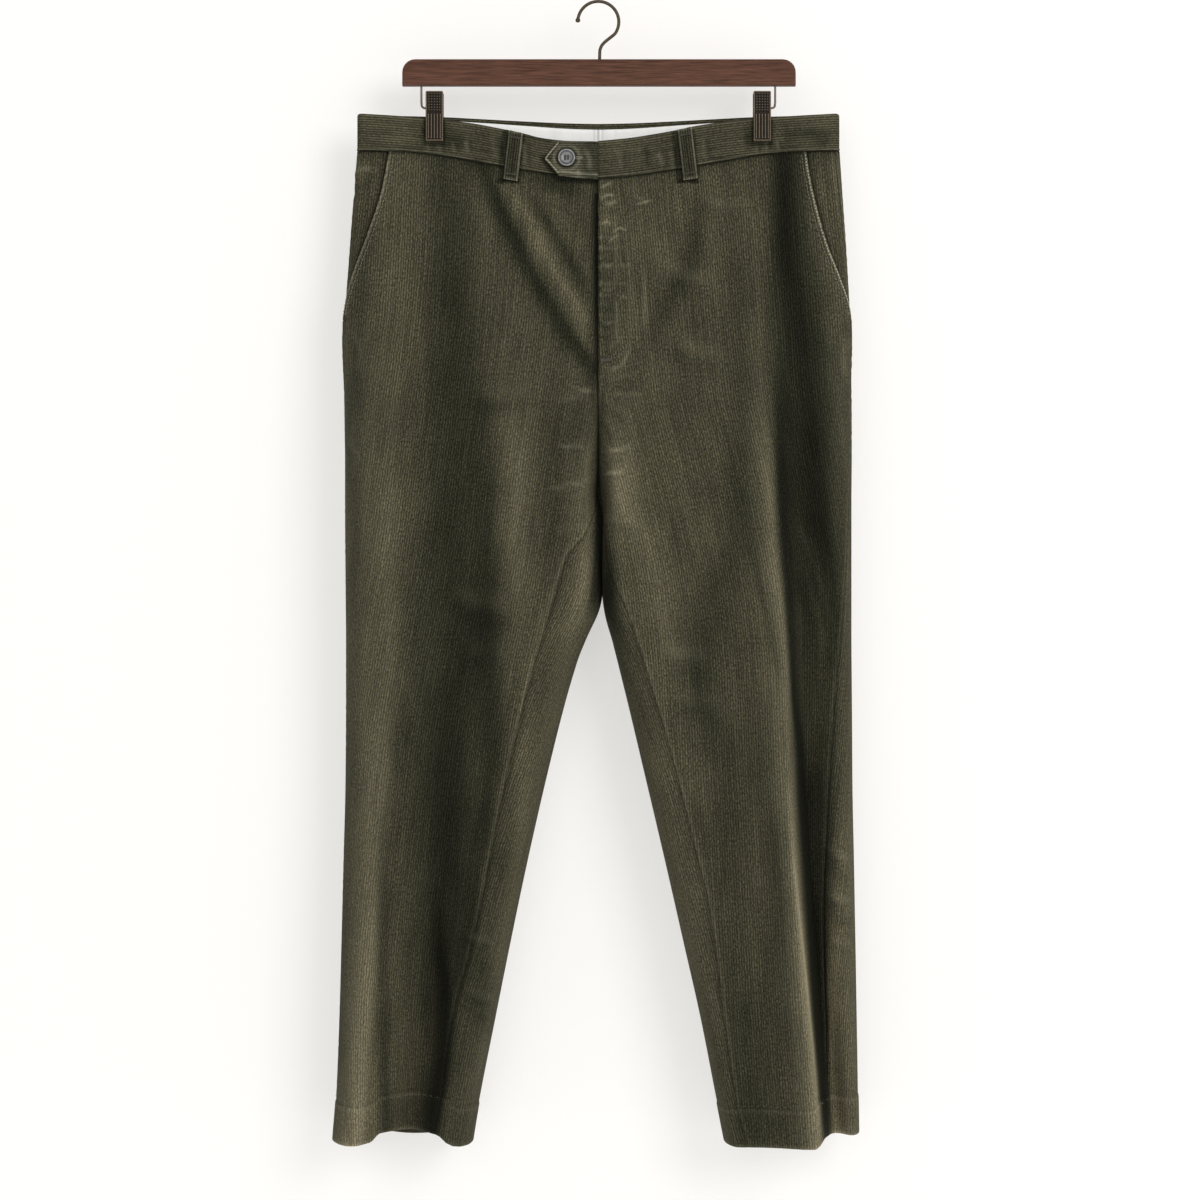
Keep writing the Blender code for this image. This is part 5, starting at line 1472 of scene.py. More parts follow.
def outline_shadows(panel):
    """Shadow lines round the tab, the clips and the front belt loops."""
    if panel.half != "right":
        around(panel, TAB_OUTLINE, 2.6, 2.0)
    for half, sign in HALVES.items():
        around(panel, [(sign * x, drop) for x, drop in CLIP_OUTLINE], 2.0, 1.3)
        for name, (_, face, top, bottom) in BELT_LOOPS.items():
            if face == "front":
                for side in (-LOOP_WIDTH / 2 - 0.6, LOOP_WIDTH / 2 + 0.6):
                    path = [(sign * top + side, 128), (sign * bottom + side, 182)]
                    around(panel, path, 1.7, 1.8)
                foot = float(waist("front_seam", bottom)) + LOOP_TAIL + 0.8
                around(panel, [(sign * bottom - 7, foot), (sign * bottom + 7, foot)], 1.8, 1.5)


for name, panel in panels.items():
    faces_front = panel.grid[:, :, 1] < 0
    panel.painted_shading_and_tone += faces_front * painted_fold_shading(panel.half, panel.x, panel.drop)
    # Painted shadow under the waistband's lower edge.
    seam_drop = waist("front_seam", np.abs(panel.x))
    seam_drop = np.where(faces_front, seam_drop, waist("back_seam", np.abs(panel.x)))
    under_band = np.maximum(panel.drop - seam_drop, 0)
    panel.painted_shading_and_tone -= 0.45 * bell(under_band, 7.0) + 1.5 * bell(under_band, 1.3)
    outline_shadows(panel)
    # Painted shade on a pocket facing along the slanted edge of the front panel over it.
    if panel.kind == "pocket_facing":
        from_slant = np.abs(panel.x) - line(POCKET_SLANT[panel.half], panel.drop)
        panel.painted_shading_and_tone -= 1.8 * bell(np.maximum(from_slant, 0), 1.8)
print("nap laid:", {half: len(rows) for half, rows in FRONT_PAINTED_LIGHT_AND_SHADE.items()}, "bands")

# %% [markdown]
# ## The four leg panels and the pocket facings
# The right front laps over the left at the fly and both lap over the pocket facings. Each panel is
# sewn from its net: form, then lap, then relief, then cloth thickness.

# %% Panels
panel_objects = {}
for name, panel in panels.items():
    drops = panel.drops[:, None, None]
    thick = CLOTH + (HEM_CLOTH - CLOTH) * step_up(1084, 1098, drops)
    outer = panel.grid.copy()
    rounded = {}
    if panel.kind == "front_leg":
        outer += front_lift(panel.half, panel.grid, panel.drops) * panel.way
        folded = 0.7 * (1 - step_up(POCKET_END_DROP - 4, POCKET_END_DROP + 6, panel.drops))
        rounded["first_column"] = folded
        if panel.half == "right":
            rounded["last_column"] = 0.5 * (1 - step_up(FLY_END_DROP - 4, FLY_END_DROP + 6,
                                                        panel.drops))
    if panel.kind == "pocket_facing":
        shares = np.linspace(0, 1, panel.grid.shape[1])
        sink = np.interp(shares, (0, 0.22, 0.44, 0.67, 1.0), FACING_SINK)
        outer = outer - (1 + step_up(280, POCKET_END_DROP, drops)) * sink[None, :, None] * panel.way
        # Painted shade on the part of the facing that lies under the front panel.
        panel.shade += 0.9 * step_up(0.5, 0.72, shares)[None, :]
    else:
        rounded["last_row"] = 0.7
    outer = outer + panel.lift[:, :, None] * panel.way
    panel.outer = outer
    made = shell(
        name + "_cloth", outer, outer - thick * panel.way, panel, [leg_cord, wrong_side], rounded,
    )
    panel_objects[name] = made
    nodes_hidden = {
        "front_leg": ("front_panel_", "_lower"), "back_leg": ("back_panel_", "_lower"),
        "pocket_facing": ("pocket_facing_", None),
    }[panel.kind]
    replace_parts(made, nodes_hidden[0] + panel.half)
    if nodes_hidden[1]:
        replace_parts(made, nodes_hidden[0] + panel.half + nodes_hidden[1])
    print(name, len(made.data.polygons), "faces")

# %% [markdown]
# ## The waistband
# The waistband's wales run round the body, so its fine lines are level. It is stiffened: no folds,
# only slight swells, the marks of the clips and a firm lower edge.

# %% Band nets
BAND_ROWS = 22


def band_panel(half, grid):
    """A band, top edge first; its wales lie level, so cloth metres run down then along."""
    panel = Panel("band", half, grid, 0, np.arange(BAND_ROWS))
    share = np.linspace(0, 1, BAND_ROWS)[:, None]
    tall = np.linalg.norm(grid[-1] - grid[0], axis=1)[None, :]
    panel.down, panel.up = share * tall, (1 - share) * tall
    panel.cloth = np.stack([panel.down, panel.from_first], 2)
    return panel


turn = np.linspace(0, math.pi / 2, 9)
side_outs = WAIST_HALF - WAIST_ROUND * (1 - np.cos(turn))
BAND_OUTS = np.concatenate([side_outs, np.linspace(231.0, 0, 100)])
bands = {"waistband_front_" + half: band_panel(half, band_grid(half, "front", BAND_OUTS, BAND_ROWS))
         for half in HALVES}
back_left, back_right = (band_grid(half, "back", BAND_OUTS, BAND_ROWS) for half in HALVES)
whole_back = band_panel("back", np.concatenate([back_left, back_right[:, ::-1][:, 1:]], axis=1))
bands["waistband_back"] = whole_back
for panel, way in zip(bands.values(), offsets([p.grid for p in bands.values()], [True, False, False])):
    panel.way = way

# %% Band relief and shells
BAND_STROKES = table("""
band: 1.8 .5 .3 -170 139 -169 150, 1.6 .5 .22 -158 140 -157 152, 1.8 .5 .3 -145 139 -143 151,
2.2 .4 .2 -132 136 -129 152, 1.8 .5 .28 168 138 169 150, 1.6 .5 .25 158 139 158 151,
1.8 .45 .25 179 138 181 150, 3 .45 .22 22 146 24 170, 3.5 -.4 0 44 142 48 168, 2.6 .5 .34 60 150 66 166,
3 .35 .2 74 148 76 168, 3 .4 .25 104 134 108 160, 3 .4 .3 -74 140 -72 166,
3.5 .35 .2 -104 132 -100 158""")["band"]
# Patches of painted shade on the band beside the clips, loops and tab: width, octaves, path.
BAND_SHADES = table("""
band: 8 .9 -176 128 -158 134 -134 142, 9 1 146 136 172 132, 8 .8 186 134 212 132 230 138,
3.5 .9 -80 133 -62 136 -46 139, 3.5 .5 -196 150 -150 157 -112 160,
3.5 .5 112 158 150 156 190 152""")["band"]
for seed, (name, panel) in enumerate(bands.items()):
    swell = ripple(panel.from_first, 58.0, 91 + seed) * np.sin(math.pi * panel.down / 37.0)
    panel.lift += 0.45 * swell
    panel.lift += 0.55 * bell(panel.up - 1.6, 1.4) - 0.5 * bell(panel.up, 0.8)
    panel.lift -= 0.35 * bell(panel.down, 1.1)
    uneven = 0.75 + 0.25 * ripple(panel.from_first, 23.0, 101 + seed)
    panel.rub += 0.42 * uneven * bell(panel.up - 1.6, 0.8)
    panel.rub += 0.25 * uneven * bell(panel.down, 1.0)
    panel.rub += 0.08 + 0.10 * ripple(panel.from_first, 47.0, 111 + seed)
    # Painted shade under the rolled top edge.
    panel.shade += 0.45 * bell(panel.up - 3.8, 1.0)
    # A line of painted shade along the top edge, and the band a little darker overall.
    panel.painted_shading_and_tone -= 2.2 * bell(panel.up, 0.9) + 0.16
    outline_shadows(panel)
    if name != "waistband_back":
        for width, height, rub, *path in BAND_STROKES:
            if (path[0] < 0) == (panel.half == "left"):
                mark = stroke(panel.x, panel.drop, path, width, 0.2)
                panel.lift += height * mark
                panel.rub += rub * mark
                # Painted shadow beside each rumple.
                panel.painted_shading_and_tone -= 0.8 * stroke(panel.x - 2.6, panel.drop, path, width, 0.2)
        for width, octaves, *path in BAND_SHADES:
            if (path[0] < 0) == (panel.half == "left"):
                around(panel, path, width, octaves)
    under_clip = bell(np.abs(panel.x) - CLIP_OUT, 11.0, 4)
    panel.shade += 0.6 * under_clip * (1 - step_up(18, 26, panel.down))
    outer = panel.grid + panel.lift[:, :, None] * panel.way
    panel.outer = outer
    made = shell(
        name + "_cloth", outer, panel.grid - BAND_THICK * panel.way, panel,
        [band_cord, band_cord], {"first_row": 0.9, "last_row": 0.3},
    )
    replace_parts(made, name)
    panel_objects[name] = made
print("waistband:", [round(p.area(), 4) for p in bands.values()])

# %% [markdown]
# ## The lining
# A strip of white cotton shows inside the back waistband. It is looser than the band and stands in
# faint upright folds with a join at the centre back, so it is a thin shell of its own.

# %% Lining
LINING_TOP_IN, LINING_LONG = (3.0, 2.2), 47.0  # lower at the middle, where the band sags


def build_lining():
    keep = slice(9, -9)
    inner = (whole_back.grid - (BAND_THICK + LAYER_GAP) * whole_back.way)[:, keep]
    shares = np.linspace(0, 1, 420)
    old = np.linspace(0, 1, inner.shape[1])
    edge = np.stack([np.interp(shares, old, inner[0, :, k]) for k in range(3)], 1)
    way = np.stack([np.interp(shares, old, whole_back.way[3, keep, k]) for k in range(3)], 1)
    way[:, 2] = 0
    downs = np.linspace(0, LINING_LONG, 16)
    grid = np.repeat(edge[None], len(downs), 0)
    top_in = LINING_TOP_IN[0] + LINING_TOP_IN[1] * bell(edge[None, :, 0], 80)
    grid[:, :, 2] = edge[None, :, 2] - top_in - downs[:, None]
    x = grid[:, :, 0]
    hung = 0.35 + 0.65 * (downs / LINING_LONG)[:, None]
    waves = 0.45 * ripple(x, 29.0, 121) + 0.35 * ripple(x, 11.0, 122)
    waves = waves + 0.5 * bell(x, 2.4) - 0.7 * bell(np.abs(x) - 4.0, 1.3)
    grid = grid - (0.30 + 0.75 * np.clip(waves + 0.5, 0, 1.6) * hung)[:, :, None] * way[None]
    panel = Panel("lining", "back", grid, run_length(grid[0]), downs)
    # A dark line at the join, and painted shade beside it and in the hollows of the folds.
    panel.painted_shading_and_tone -= 0.9 * bell(x, 0.9) + 0.22 * np.clip(-waves, 0, 1)
    panel.painted_shading_and_tone -= 0.3 * bell(np.abs(x) - 4.2, 0.7)
    made = shell(
        "waistband_lining_cotton", grid, grid + 0.5 * way[None], panel,
        [lining_cotton, lining_cotton], {"last_row": 0.2},
    )
    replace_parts(made, "waistband_lining")
    return made


lining = build_lining()
print("lining faces:", len(lining.data.polygons))

# %% [markdown]
# ## The pointed tab
# A pointed tab crosses the fly and is buttoned on the left. It is a separate stiff piece with
# thick, round edges that are rubbed pale, stitched 3 mm inside them.

# %% Tab
TAB_MIDDLE_DROP = 157.6


def build_tab_cloth():
    outs = np.concatenate([
        np.linspace(SEAM_HALF_GAP, TAB_SHOULDER_OUT, 30),
        np.linspace(TAB_SHOULDER_OUT, TAB_TIP_OUT, 14)[1:],
    ])
    top = front_top("left", outs) + 0.2
    bottom = waist("front_seam", outs)
    point = np.clip((outs - TAB_SHOULDER_OUT) / (TAB_TIP_OUT - TAB_SHOULDER_OUT), 0, 1)
    top = top + (TAB_MIDDLE_DROP - 0.8 - top) * point
    bottom = bottom + (TAB_MIDDLE_DROP + 0.8 - bottom) * point
    depth = waist("front_depth", outs)
    rows = np.linspace(0, 1, 20)
    grid = np.array([
        np.stack([-outs, -depth, -(top + (bottom - top) * share)], 1) for share in rows])
    panel = Panel("tab", "left", grid, 0, rows)
    panel.way = offsets([grid], [False])[0]
    tall = (bottom - top)[None, :]
    down, up = rows[:, None] * tall, (1 - rows[:, None]) * tall
    slant = math.cos(math.atan2(19.0, TAB_TIP_OUT - TAB_SHOULDER_OUT))
    at_point = (outs > TAB_SHOULDER_OUT)[None, :]
    edge = np.minimum(down, up) * np.where(at_point, slant, 1.0)
    panel.cloth = np.stack([-grid[:, :, 2], -grid[:, :, 0]], 2)
    to_button = np.hypot(panel.x + BUTTON_OUT, panel.drop - BUTTON_DROP)
    panel.lift += 0.5 * bell(edge - 1.5, 1.2) - 0.45 * bell(edge - 3.6, 0.8)
    panel.lift -= 0.6 * bell(to_button, 9.5, 4)
    panel.lift += 0.5 * bell(to_button - 13.0, 2.6) * (panel.x > -30)
    panel.lift += 0.35 * ripple(panel.along + panel.drop * 0.4, 14.0, 131)
    panel.rub += (0.6 + 0.5 * at_point) * bell(edge - 0.9, 0.7) + 0.05
    panel.rub += 0.3 * bell(to_button - 12.5, 1.6)
    panel.rub += 0.9 * bell(up - 3.9, 0.6) * (1 - at_point)
    panel.rub += 0.5 * bell(up - 0.9, 0.8) * (1 - at_point)
    # The tab a little darker overall; painted shade inside its rolled rims, a painted shadow round the
    # button and painted shade over its right part.
    panel.painted_shading_and_tone -= 0.25
    panel.painted_shading_and_tone -= 1.3 * bell(edge - 2.2, 0.6) + 0.9 * bell(to_button, 10.3, 8)
    panel.painted_shading_and_tone -= 0.7 * step_up(-17, -11, panel.x) * (0.8 + 0.4 * ripple(panel.x, 3.4, 133))
    panel.rub += 0.4 * stroke(panel.x, panel.drop, ((-22, 168), (-17, 176)), 2.0)
    panel.rub += 0.4 * stroke(panel.x, panel.drop, ((-13, 146), (-9, 158), (-8, 172)), 2.2)
    # Painted shade inside the rims and under the button.
    panel.shade += 0.5 * bell(edge - 3.6, 0.8)
    panel.shade += 0.8 * bell(to_button, 9.6, 6)
    outer = grid + panel.lift[:, :, None] * panel.way
    made = shell(
        "waist_tab", outer, grid - TAB_THICK * panel.way, panel,
        [tab_cord, tab_cord], {"first_row": 0.6, "last_row": 0.6, "last_column": 0.4},
    )
    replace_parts(made, "waistband_tab")
    return panel, made


tab_panel, tab_object = build_tab_cloth()
print("tab faces:", len(tab_object.data.polygons))

# %% [markdown]
# ## Belt loops
# A belt loop is a strip folded in three with its wales along it. Both folded sides stand up and wear
# pale; the +X side is paler still as a painted highlight, and painted shade lies inside the sides and
# down the middle. It turns over the band's top edge, under at its foot, and bows between its two bar
# tacks.

# %% Loops
LOOP_ROWS = 34
LOOP_ACROSS = 13


def build_loop(name, centre_top, centre_bottom, face, seed):
    sign = -1 if face == "front" else 1
    across = np.linspace(-LOOP_WIDTH / 2, LOOP_WIDTH / 2, LOOP_ACROSS)
    shares = np.linspace(0, 1, LOOP_ROWS)
    rows = []
    for share in shares:
        xs = centre_top + (centre_bottom - centre_top) * share + across
        outs = np.abs(xs)
        half = "left" if xs.mean() < 0 else "right"
        top = band_top(half, face, outs) - 0.5
        bottom = waist(face + "_seam", outs) + LOOP_TAIL
        bow = 0.6 * math.sin(math.pi * share) ** 0.7
        tuck = 0.9 * (1 - step_up(0, 0.07, share)) + 0.6 * step_up(0.93, 1.0, share)
        depth = waist(face + "_depth", outs) + LAYER_GAP + bow - tuck + LOOP_THICK
        rows.append(np.stack([xs, sign * depth, -(top + (bottom - top) * share)], 1))
    grid = np.array(rows)
    panel = Panel("loop", face, grid, 0, shares)
    panel.way = offsets([grid], [face == "front"])[0]
    wide = np.repeat(across[None], LOOP_ROWS, 0)
    panel.cloth = np.stack([wide, -grid[:, :, 2]], 2)
    sides = bell(np.abs(wide) - 4.7, 1.5)
    tack = bell(shares - 0.13, 0.025) + bell(shares - 0.90, 0.025)
    panel.lift += 0.5 * sides - 0.35 * bell(wide, 1.6) - 0.4 * tack[:, None]
    uneven = 0.75 + 0.25 * ripple(-grid[:, :, 2], 9.0, seed)
    # Pale wear on the folded rims, half as much again on the +X side and half as much on the other, as a
    # painted highlight.
    rim = bell(np.abs(wide) - 6.1, 0.6) * (1.0 + 0.5 * np.sign(wide))
    panel.rub += 0.55 * rim * uneven
    # The loop a little darker overall, with painted shade just inside the folded sides.
    panel.painted_shading_and_tone -= 0.35 + 0.9 * bell(np.abs(wide) - 4.6, 0.7)
    panel.rub += 0.45 * (bell(shares, 0.035) + bell(1 - shares, 0.03))[:, None]
    # Painted shade down the middle, at the bar tacks and inside the folded sides.
    panel.shade += 0.55 * bell(wide, 2.0) + 0.4 * tack[:, None]
    panel.shade += 0.5 * bell(np.abs(wide) - 3.4, 0.6)
    outer = grid + panel.lift[:, :, None] * panel.way
    made = shell(
        name + "_strip", outer, grid - LOOP_THICK * panel.way, panel, [tab_cord, tab_cord],
        {edge: 0.45 for edge in EDGES},
    )
    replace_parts(made, name)
    return panel, made


loops = {}
for seed, (name, (half, face, top, bottom)) in enumerate(BELT_LOOPS.items()):
    loops[name] = build_loop(name, HALVES[half] * top, HALVES[half] * bottom, face, 141 + seed)
loops["belt_loop_back_centre"] = build_loop("belt_loop_back_centre", 0.0, 0.0, "back", 149)
print("belt loops:", sorted(loops))

# %% [markdown]
# ## Behind the fly
# A shield of cloth lies behind the zip, and the zip's tape behind the right front. Both show only
# from above. The closed zip's teeth are one row of small blocks, with the slider at the top.

# %% Fly shield and zip
ZIP_TOOTH = (2.2, 1.0, 1.1)  # wide, thick, tall
ZIP_TOOTH_PITCH = 2.1
ZIP_CENTRE_OUT = 9.0


def strip_shell(name, outs, drops, level, thick, materials):
    grid, way = front_strip(outs, drops, level)
    panel = Panel("strip", "right", grid, np.repeat(np.array(outs)[None], len(drops), 0),
                  np.array(drops))
    made = shell(name, grid, grid - thick * way, panel, materials)
    return panel, way, made


def boxes(name, places, size, material):
    """Many small blocks, each with its own centre and axes, as one mesh."""
    points, faces = [], []
    for centre, axes in places:
        start = len(points)
        for sx in (-0.5, 0.5):
            for sy in (-0.5, 0.5):
                for sz in (-0.5, 0.5):
                    corner = centre + sum(s * w * a for s, w, a in zip((sx, sy, sz), size, axes))
                    points.append(tuple(corner * MM))
        for face in ((0, 1, 3, 2), (4, 6, 7, 5), (0, 4, 5, 1), (2, 3, 7, 6), (0, 2, 6, 4), (1, 5, 7, 3)):
            faces.append(tuple(start + k for k in face))
    thing = add_mesh(name, points, faces, material)
    bevel = thing.modifiers.new("eased", "BEVEL")
    bevel.width, bevel.segments = 0.15 * MM, 1
    return on_root(thing)


fly_drops = [d for d in FINE_ROWS[::3] if 168 <= d <= FLY_END_DROP]
shield_level = -(CLOTH + 0.3 + CLOTH + 3 * LAYER_GAP)
shield_outs = np.concatenate([np.linspace(-18, -1, 8), np.linspace(1, FLY_SHIELD_WIDTH - 18, 10)])
shield_panel, _, shield = strip_shell(
    "fly_shield_cloth", tuple(shield_outs), fly_drops, shield_level, CLOTH,
    [leg_cord, wrong_side])
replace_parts(shield, "fly_shield")
tape_drops = [d for d in fly_drops if d < 330]
tape_panel, tape_way, tape = strip_shell(
    "fly_zip_tape", tuple(np.linspace(5, ZIP_WIDTH - 4, 9)), tape_drops,
    -(CLOTH + 3 * LAYER_GAP), 0.8, [zip_weave, zip_weave])
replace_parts(tape, "fly_zip")
print("fly shield and zip tape made")

# %% [markdown]
# ## Stitches
# Thread is laid on the finished cloth. Each stitch is a short bowed strand whose ends dive in, and a
# line of them is one mesh: real strands catch light and cast tiny shadows, a texture would not. A
# line is given as a path seen from the front or back, and each stitch is dropped straight onto the
# cloth.

# %% Thread material and the surface under the stitches
def thread_material(name, colour, roughness=0.55):
    material, tree, shader = new_material(name, roughness, 0.2)
    place = node(tree, "TexCoord").outputs["Object"]
    twist = node(tree, "TexNoise", {"Vector": place, "Scale": 900.0, "Detail": 1.0})
    darker = tuple(0.55 * v for v in colour)
    tree.links.new(mix_colour(tree, twist.outputs["Fac"], darker, colour), shader.inputs["Base Color"])
    return material


cord_thread = thread_material("cord_thread", (0.105, 0.100, 0.070))
worn_thread = thread_material("worn_thread", (0.21, 0.20, 0.145))
pale_thread = thread_material("pale_thread", (0.52, 0.49, 0.37))
sunk_thread = thread_material("sunk_thread", (0.050, 0.047, 0.032))
dark_thread = thread_material("dark_thread", (0.016, 0.016, 0.015))


def surface_of(objects):
    """A search tree over the outer faces of several pieces."""
    points, faces = [], []
    for thing in objects:
        start = len(points)
        mesh = thing.data
        co = np.empty(len(mesh.vertices) * 3, np.float32)
        mesh.vertices.foreach_get("co", co)
        points += co.reshape(-1, 3).tolist()
        faces += [[start + v for v in f.vertices] for f in mesh.polygons]
    return BVHTree.FromPolygons(points, faces)


cloth_surface = surface_of([o for name, o in panel_objects.items()] + [tab_object]
                           + [made for _, made in loops.values()])


def drop_onto(x, drop, face):
    """The point of the cloth straight behind or before a place, and the way it faces."""
    start = Vector((x * MM, -0.3 if face == "front" else 0.3, -drop * MM))
    way = Vector((0, 1 if face == "front" else -1, 0))
    place, normal, _, _ = cloth_surface.ray_cast(start, way)
    if place is None:
        return None, None
    if normal.dot(way) > 0:
        normal = -normal
    return np.array(place) / MM, np.array(normal)


# %% Strands
STRAND_SHAPE = ((0.0, -0.30), (0.16, 0.16), (0.5, 0.30), (0.84, 0.16), (1.0, -0.30))
STRAND_SIDES = 5


def strands(name, ends, radius, material, high=1.0):
    """Bowed strands from a list of (start, end, way out) in millimetres, as one mesh."""
    points, faces = [], []
    for a, b, out in ends:
        along = b - a
        length = np.linalg.norm(along)
        if length < 1e-6:
            continue
        along = along / length
        side = np.cross(along, out)
        side /= max(np.linalg.norm(side), 1e-9)
        up = np.cross(side, along)
        base = len(points)
        for share, rise in STRAND_SHAPE:
            centre = a + (b - a) * share + out * rise * high
            for k in range(STRAND_SIDES):
                angle = 2 * math.pi * k / STRAND_SIDES
                points.append((centre + radius * (math.cos(angle) * side + math.sin(angle) * up)) * MM)
        for ring in range(len(STRAND_SHAPE) - 1):
            for k in range(STRAND_SIDES):
                j = (k + 1) % STRAND_SIDES
                p, q = base + ring * STRAND_SIDES, base + (ring + 1) * STRAND_SIDES
                faces.append((p + k, p + j, q + j, q + k))
        last = base + (len(STRAND_SHAPE) - 1) * STRAND_SIDES
        faces.append(tuple(base + k for k in reversed(range(STRAND_SIDES))))
        faces.append(tuple(last + k for k in range(STRAND_SIDES)))
    thing = add_mesh(name, [tuple(p) for p in points], faces, material)
    thing.data.shade_smooth()
    return on_root(thing)


def stitch(start, end, face):
    """One stitch between two places (x, drop) on the cloth, in a list, or an empty list."""
    (a, out), (b, _) = drop_onto(*start, face), drop_onto(*end, face)
    return [] if a is None or b is None else [(a, b, out)]


def along_path(path, pitch, fill, face, seed=0, jitter=0.12):
    """Starts and ends of stitches on the cloth along a path of (x, drop)."""
    path = np.array(path, float)
    lengths = run_length(path)
    rng = np.random.default_rng(seed)
    found = []
    for start in np.arange(0, lengths[-1] - pitch * fill, pitch):
        shift = rng.normal(0, jitter)
        ends = [[np.interp(place, lengths, path[:, k]) + shift * (0.4, 0.3)[k] for k in (0, 1)]
                for place in (start, start + pitch * fill)]
        found += [s for s in stitch(*ends, face) if np.linalg.norm(s[0] - s[1]) < 2.5 * pitch]
    return found


def smooth_path(points, count=60):
    """A rounded path through a few (x, drop) points that run downward."""
    points = np.array(points, float)
    place = run_length(points)
    at = np.linspace(0, place[-1], count)
    return np.stack([smooth(place, points[:, k], at) for k in (0, 1)], 1)


# %% Stitch lines on the legs
def pocket_line(half, inset_mm):
    front = panels["front_leg_" + half]
    path = []
    for r, drop in enumerate(front.drops):
        if drop < 152 or drop > POCKET_END_DROP - 2:
            continue
        place = np.array([np.interp(inset_mm, front.from_first[r], front.outer[r, :, k])
                          for k in (0, 2)])
        path.append((place[0], -place[1]))
    return path


EDGE_STITCH_IN = 1.1
EDGE_THREADS = {"left": (0.28, worn_thread), "right": (0.42, pale_thread)}  # radius, thread
for half in HALVES:
    strands("pocket_stitches_" + half,
            along_path(pocket_line(half, POCKET_STITCH_IN), 3.3, 0.74, "front", 5), 0.30, worn_thread)
    radius, thread = EDGE_THREADS[half]
    strands("pocket_edge_stitches_" + half,
            along_path(pocket_line(half, EDGE_STITCH_IN), 3.2, 0.55, "front", 11), radius, thread)

J_STITCH = ((34.5, 182), (34.5, 250), (34.3, 318), (32.4, 333), (27.5, 347), (20, 355.5), (12, 359))
OUTER_CURVE = ((44, 362), (34, 364), (25, 365.5), (13, 366.5), (4, 368))
fly_stitches = along_path(smooth_path(J_STITCH, 160), 3.4, 0.72, "front", 6)
fly_stitches += along_path(smooth_path(OUTER_CURVE, 40), 3.2, 0.7, "front", 7)
strands("fly_stitches", fly_stitches, 0.26, cord_thread, 0.7)

tack = []
for k in range(15):
    x = 2.5 + k * 0.72
    tack += stitch((x, 358.2 - 0.05 * k), (x + 0.35, 361.0 - 0.05 * k), "front")
strands("fly_bar_tack", tack, 0.34, sunk_thread, 1.2)
print("leg stitches:", len(fly_stitches), "on the fly")

# %% Hem stitches: the thread only pricks through
for face in ("front", "back"):
    for half in HALVES:
        panel = panels[("front_leg_" if face == "front" else "back_leg_") + half]
        r = int(np.argmin(np.abs(panel.drop[-1].mean() - HEM_TURN_UP - panel.drop.mean(axis=1))))
        row = panel.outer[r]
        path = [(p[0], -p[2]) for p in row]
        strands(f"hem_stitches_{face}_{half}", along_path(path, 6.4, 0.26, face, 8), 0.24,
                cord_thread, 0.5)

# %% Stitches on the tab, the loops and the band
tab_ends = []
for side in (1, -1):
    for inset_mm in (3.6,) if side > 0 else (3.4, 5.2):
        path = []
        for share in np.linspace(0, 1, 24):
            out = 1.5 + (TAB_SHOULDER_OUT - 2.2) * share
            top, bottom = float(front_top("left", out)), float(waist("front_seam", out))
            path.append((-out, (top + inset_mm) if side > 0 else (bottom - inset_mm)))
        tip = (-(TAB_TIP_OUT - 4.6), TAB_MIDDLE_DROP - side * 1.2)
        path.append(tip)
        tab_ends += along_path(path, 2.7, 0.72, "front", 9)
strands("tab_stitches", tab_ends, 0.24, cord_thread, 0.8)

loop_ends = []
for name, (panel, _) in loops.items():
    face = panel.half
    for lengthwise in (3, LOOP_ACROSS - 4):
        path = [(p[0], -p[2]) for p in panel.grid[2:-2, lengthwise]]
        loop_ends += along_path(path, 2.8, 0.7, face, 10)
    for share in (0.13, 0.90):
        r = int(share * (LOOP_ROWS - 1))
        for across in np.linspace(1, LOOP_ACROSS - 2, 15):
            place = [np.interp(across, range(LOOP_ACROSS), panel.grid[r, :, k]) for k in (0, 2)]
            loop_ends += stitch((place[0], -place[1] - 0.9), (place[0] + 0.3, -place[1] + 0.9), face)
strands("loop_stitches", loop_ends, 0.24, sunk_thread, 0.8)
print("tab and loop stitches:", len(tab_ends), len(loop_ends))

# %% [markdown]
# ## Button and buttonhole
# The button is a disc of dark horn turned from a profile, with four holes really cut through it and
# sewn on with dark thread. The buttonhole is edged with close stitches; its end shows beside the
# button.

# %% Turned pieces
def turned(name, profile, place, segments, material, slot, shades=None):
    """A closed profile of (radius, height out of the cloth), turned about -Y."""
    points, faces, rings = [], [], []
    for radius, height in profile:
        start = len(points)
        count = 1 if radius == 0 else segments
        for k in range(count):
            angle = 2 * math.pi * k / segments
            points.append(tuple(v * MM for v in (
                place[0] + radius * math.cos(angle), place[1] - height,
                place[2] + radius * math.sin(angle))))
        rings.append([start + (k if count > 1 else 0) for k in range(segments)])
    for a, b in zip(rings, rings[1:]):
        for k in range(segments):
            j = (k + 1) % segments
            faces.append(tuple(dict.fromkeys((a[k], a[j], b[j], b[k]))))
    thing = add_mesh(name, points, faces, material)
    mesh = thing.data
    normals_out(mesh)
    if shades:
        attribute = mesh.attributes.new("shade", "FLOAT", "POINT")
        for k, (radius, _) in enumerate(profile):
            for vertex in (rings[k] if radius else rings[k][:1]):
                attribute.data[vertex].value = shades[k]
    mesh.shade_smooth()
    mesh.set_sharp_from_angle(angle=math.radians(50))
    return on_root(thing) if slot else thing


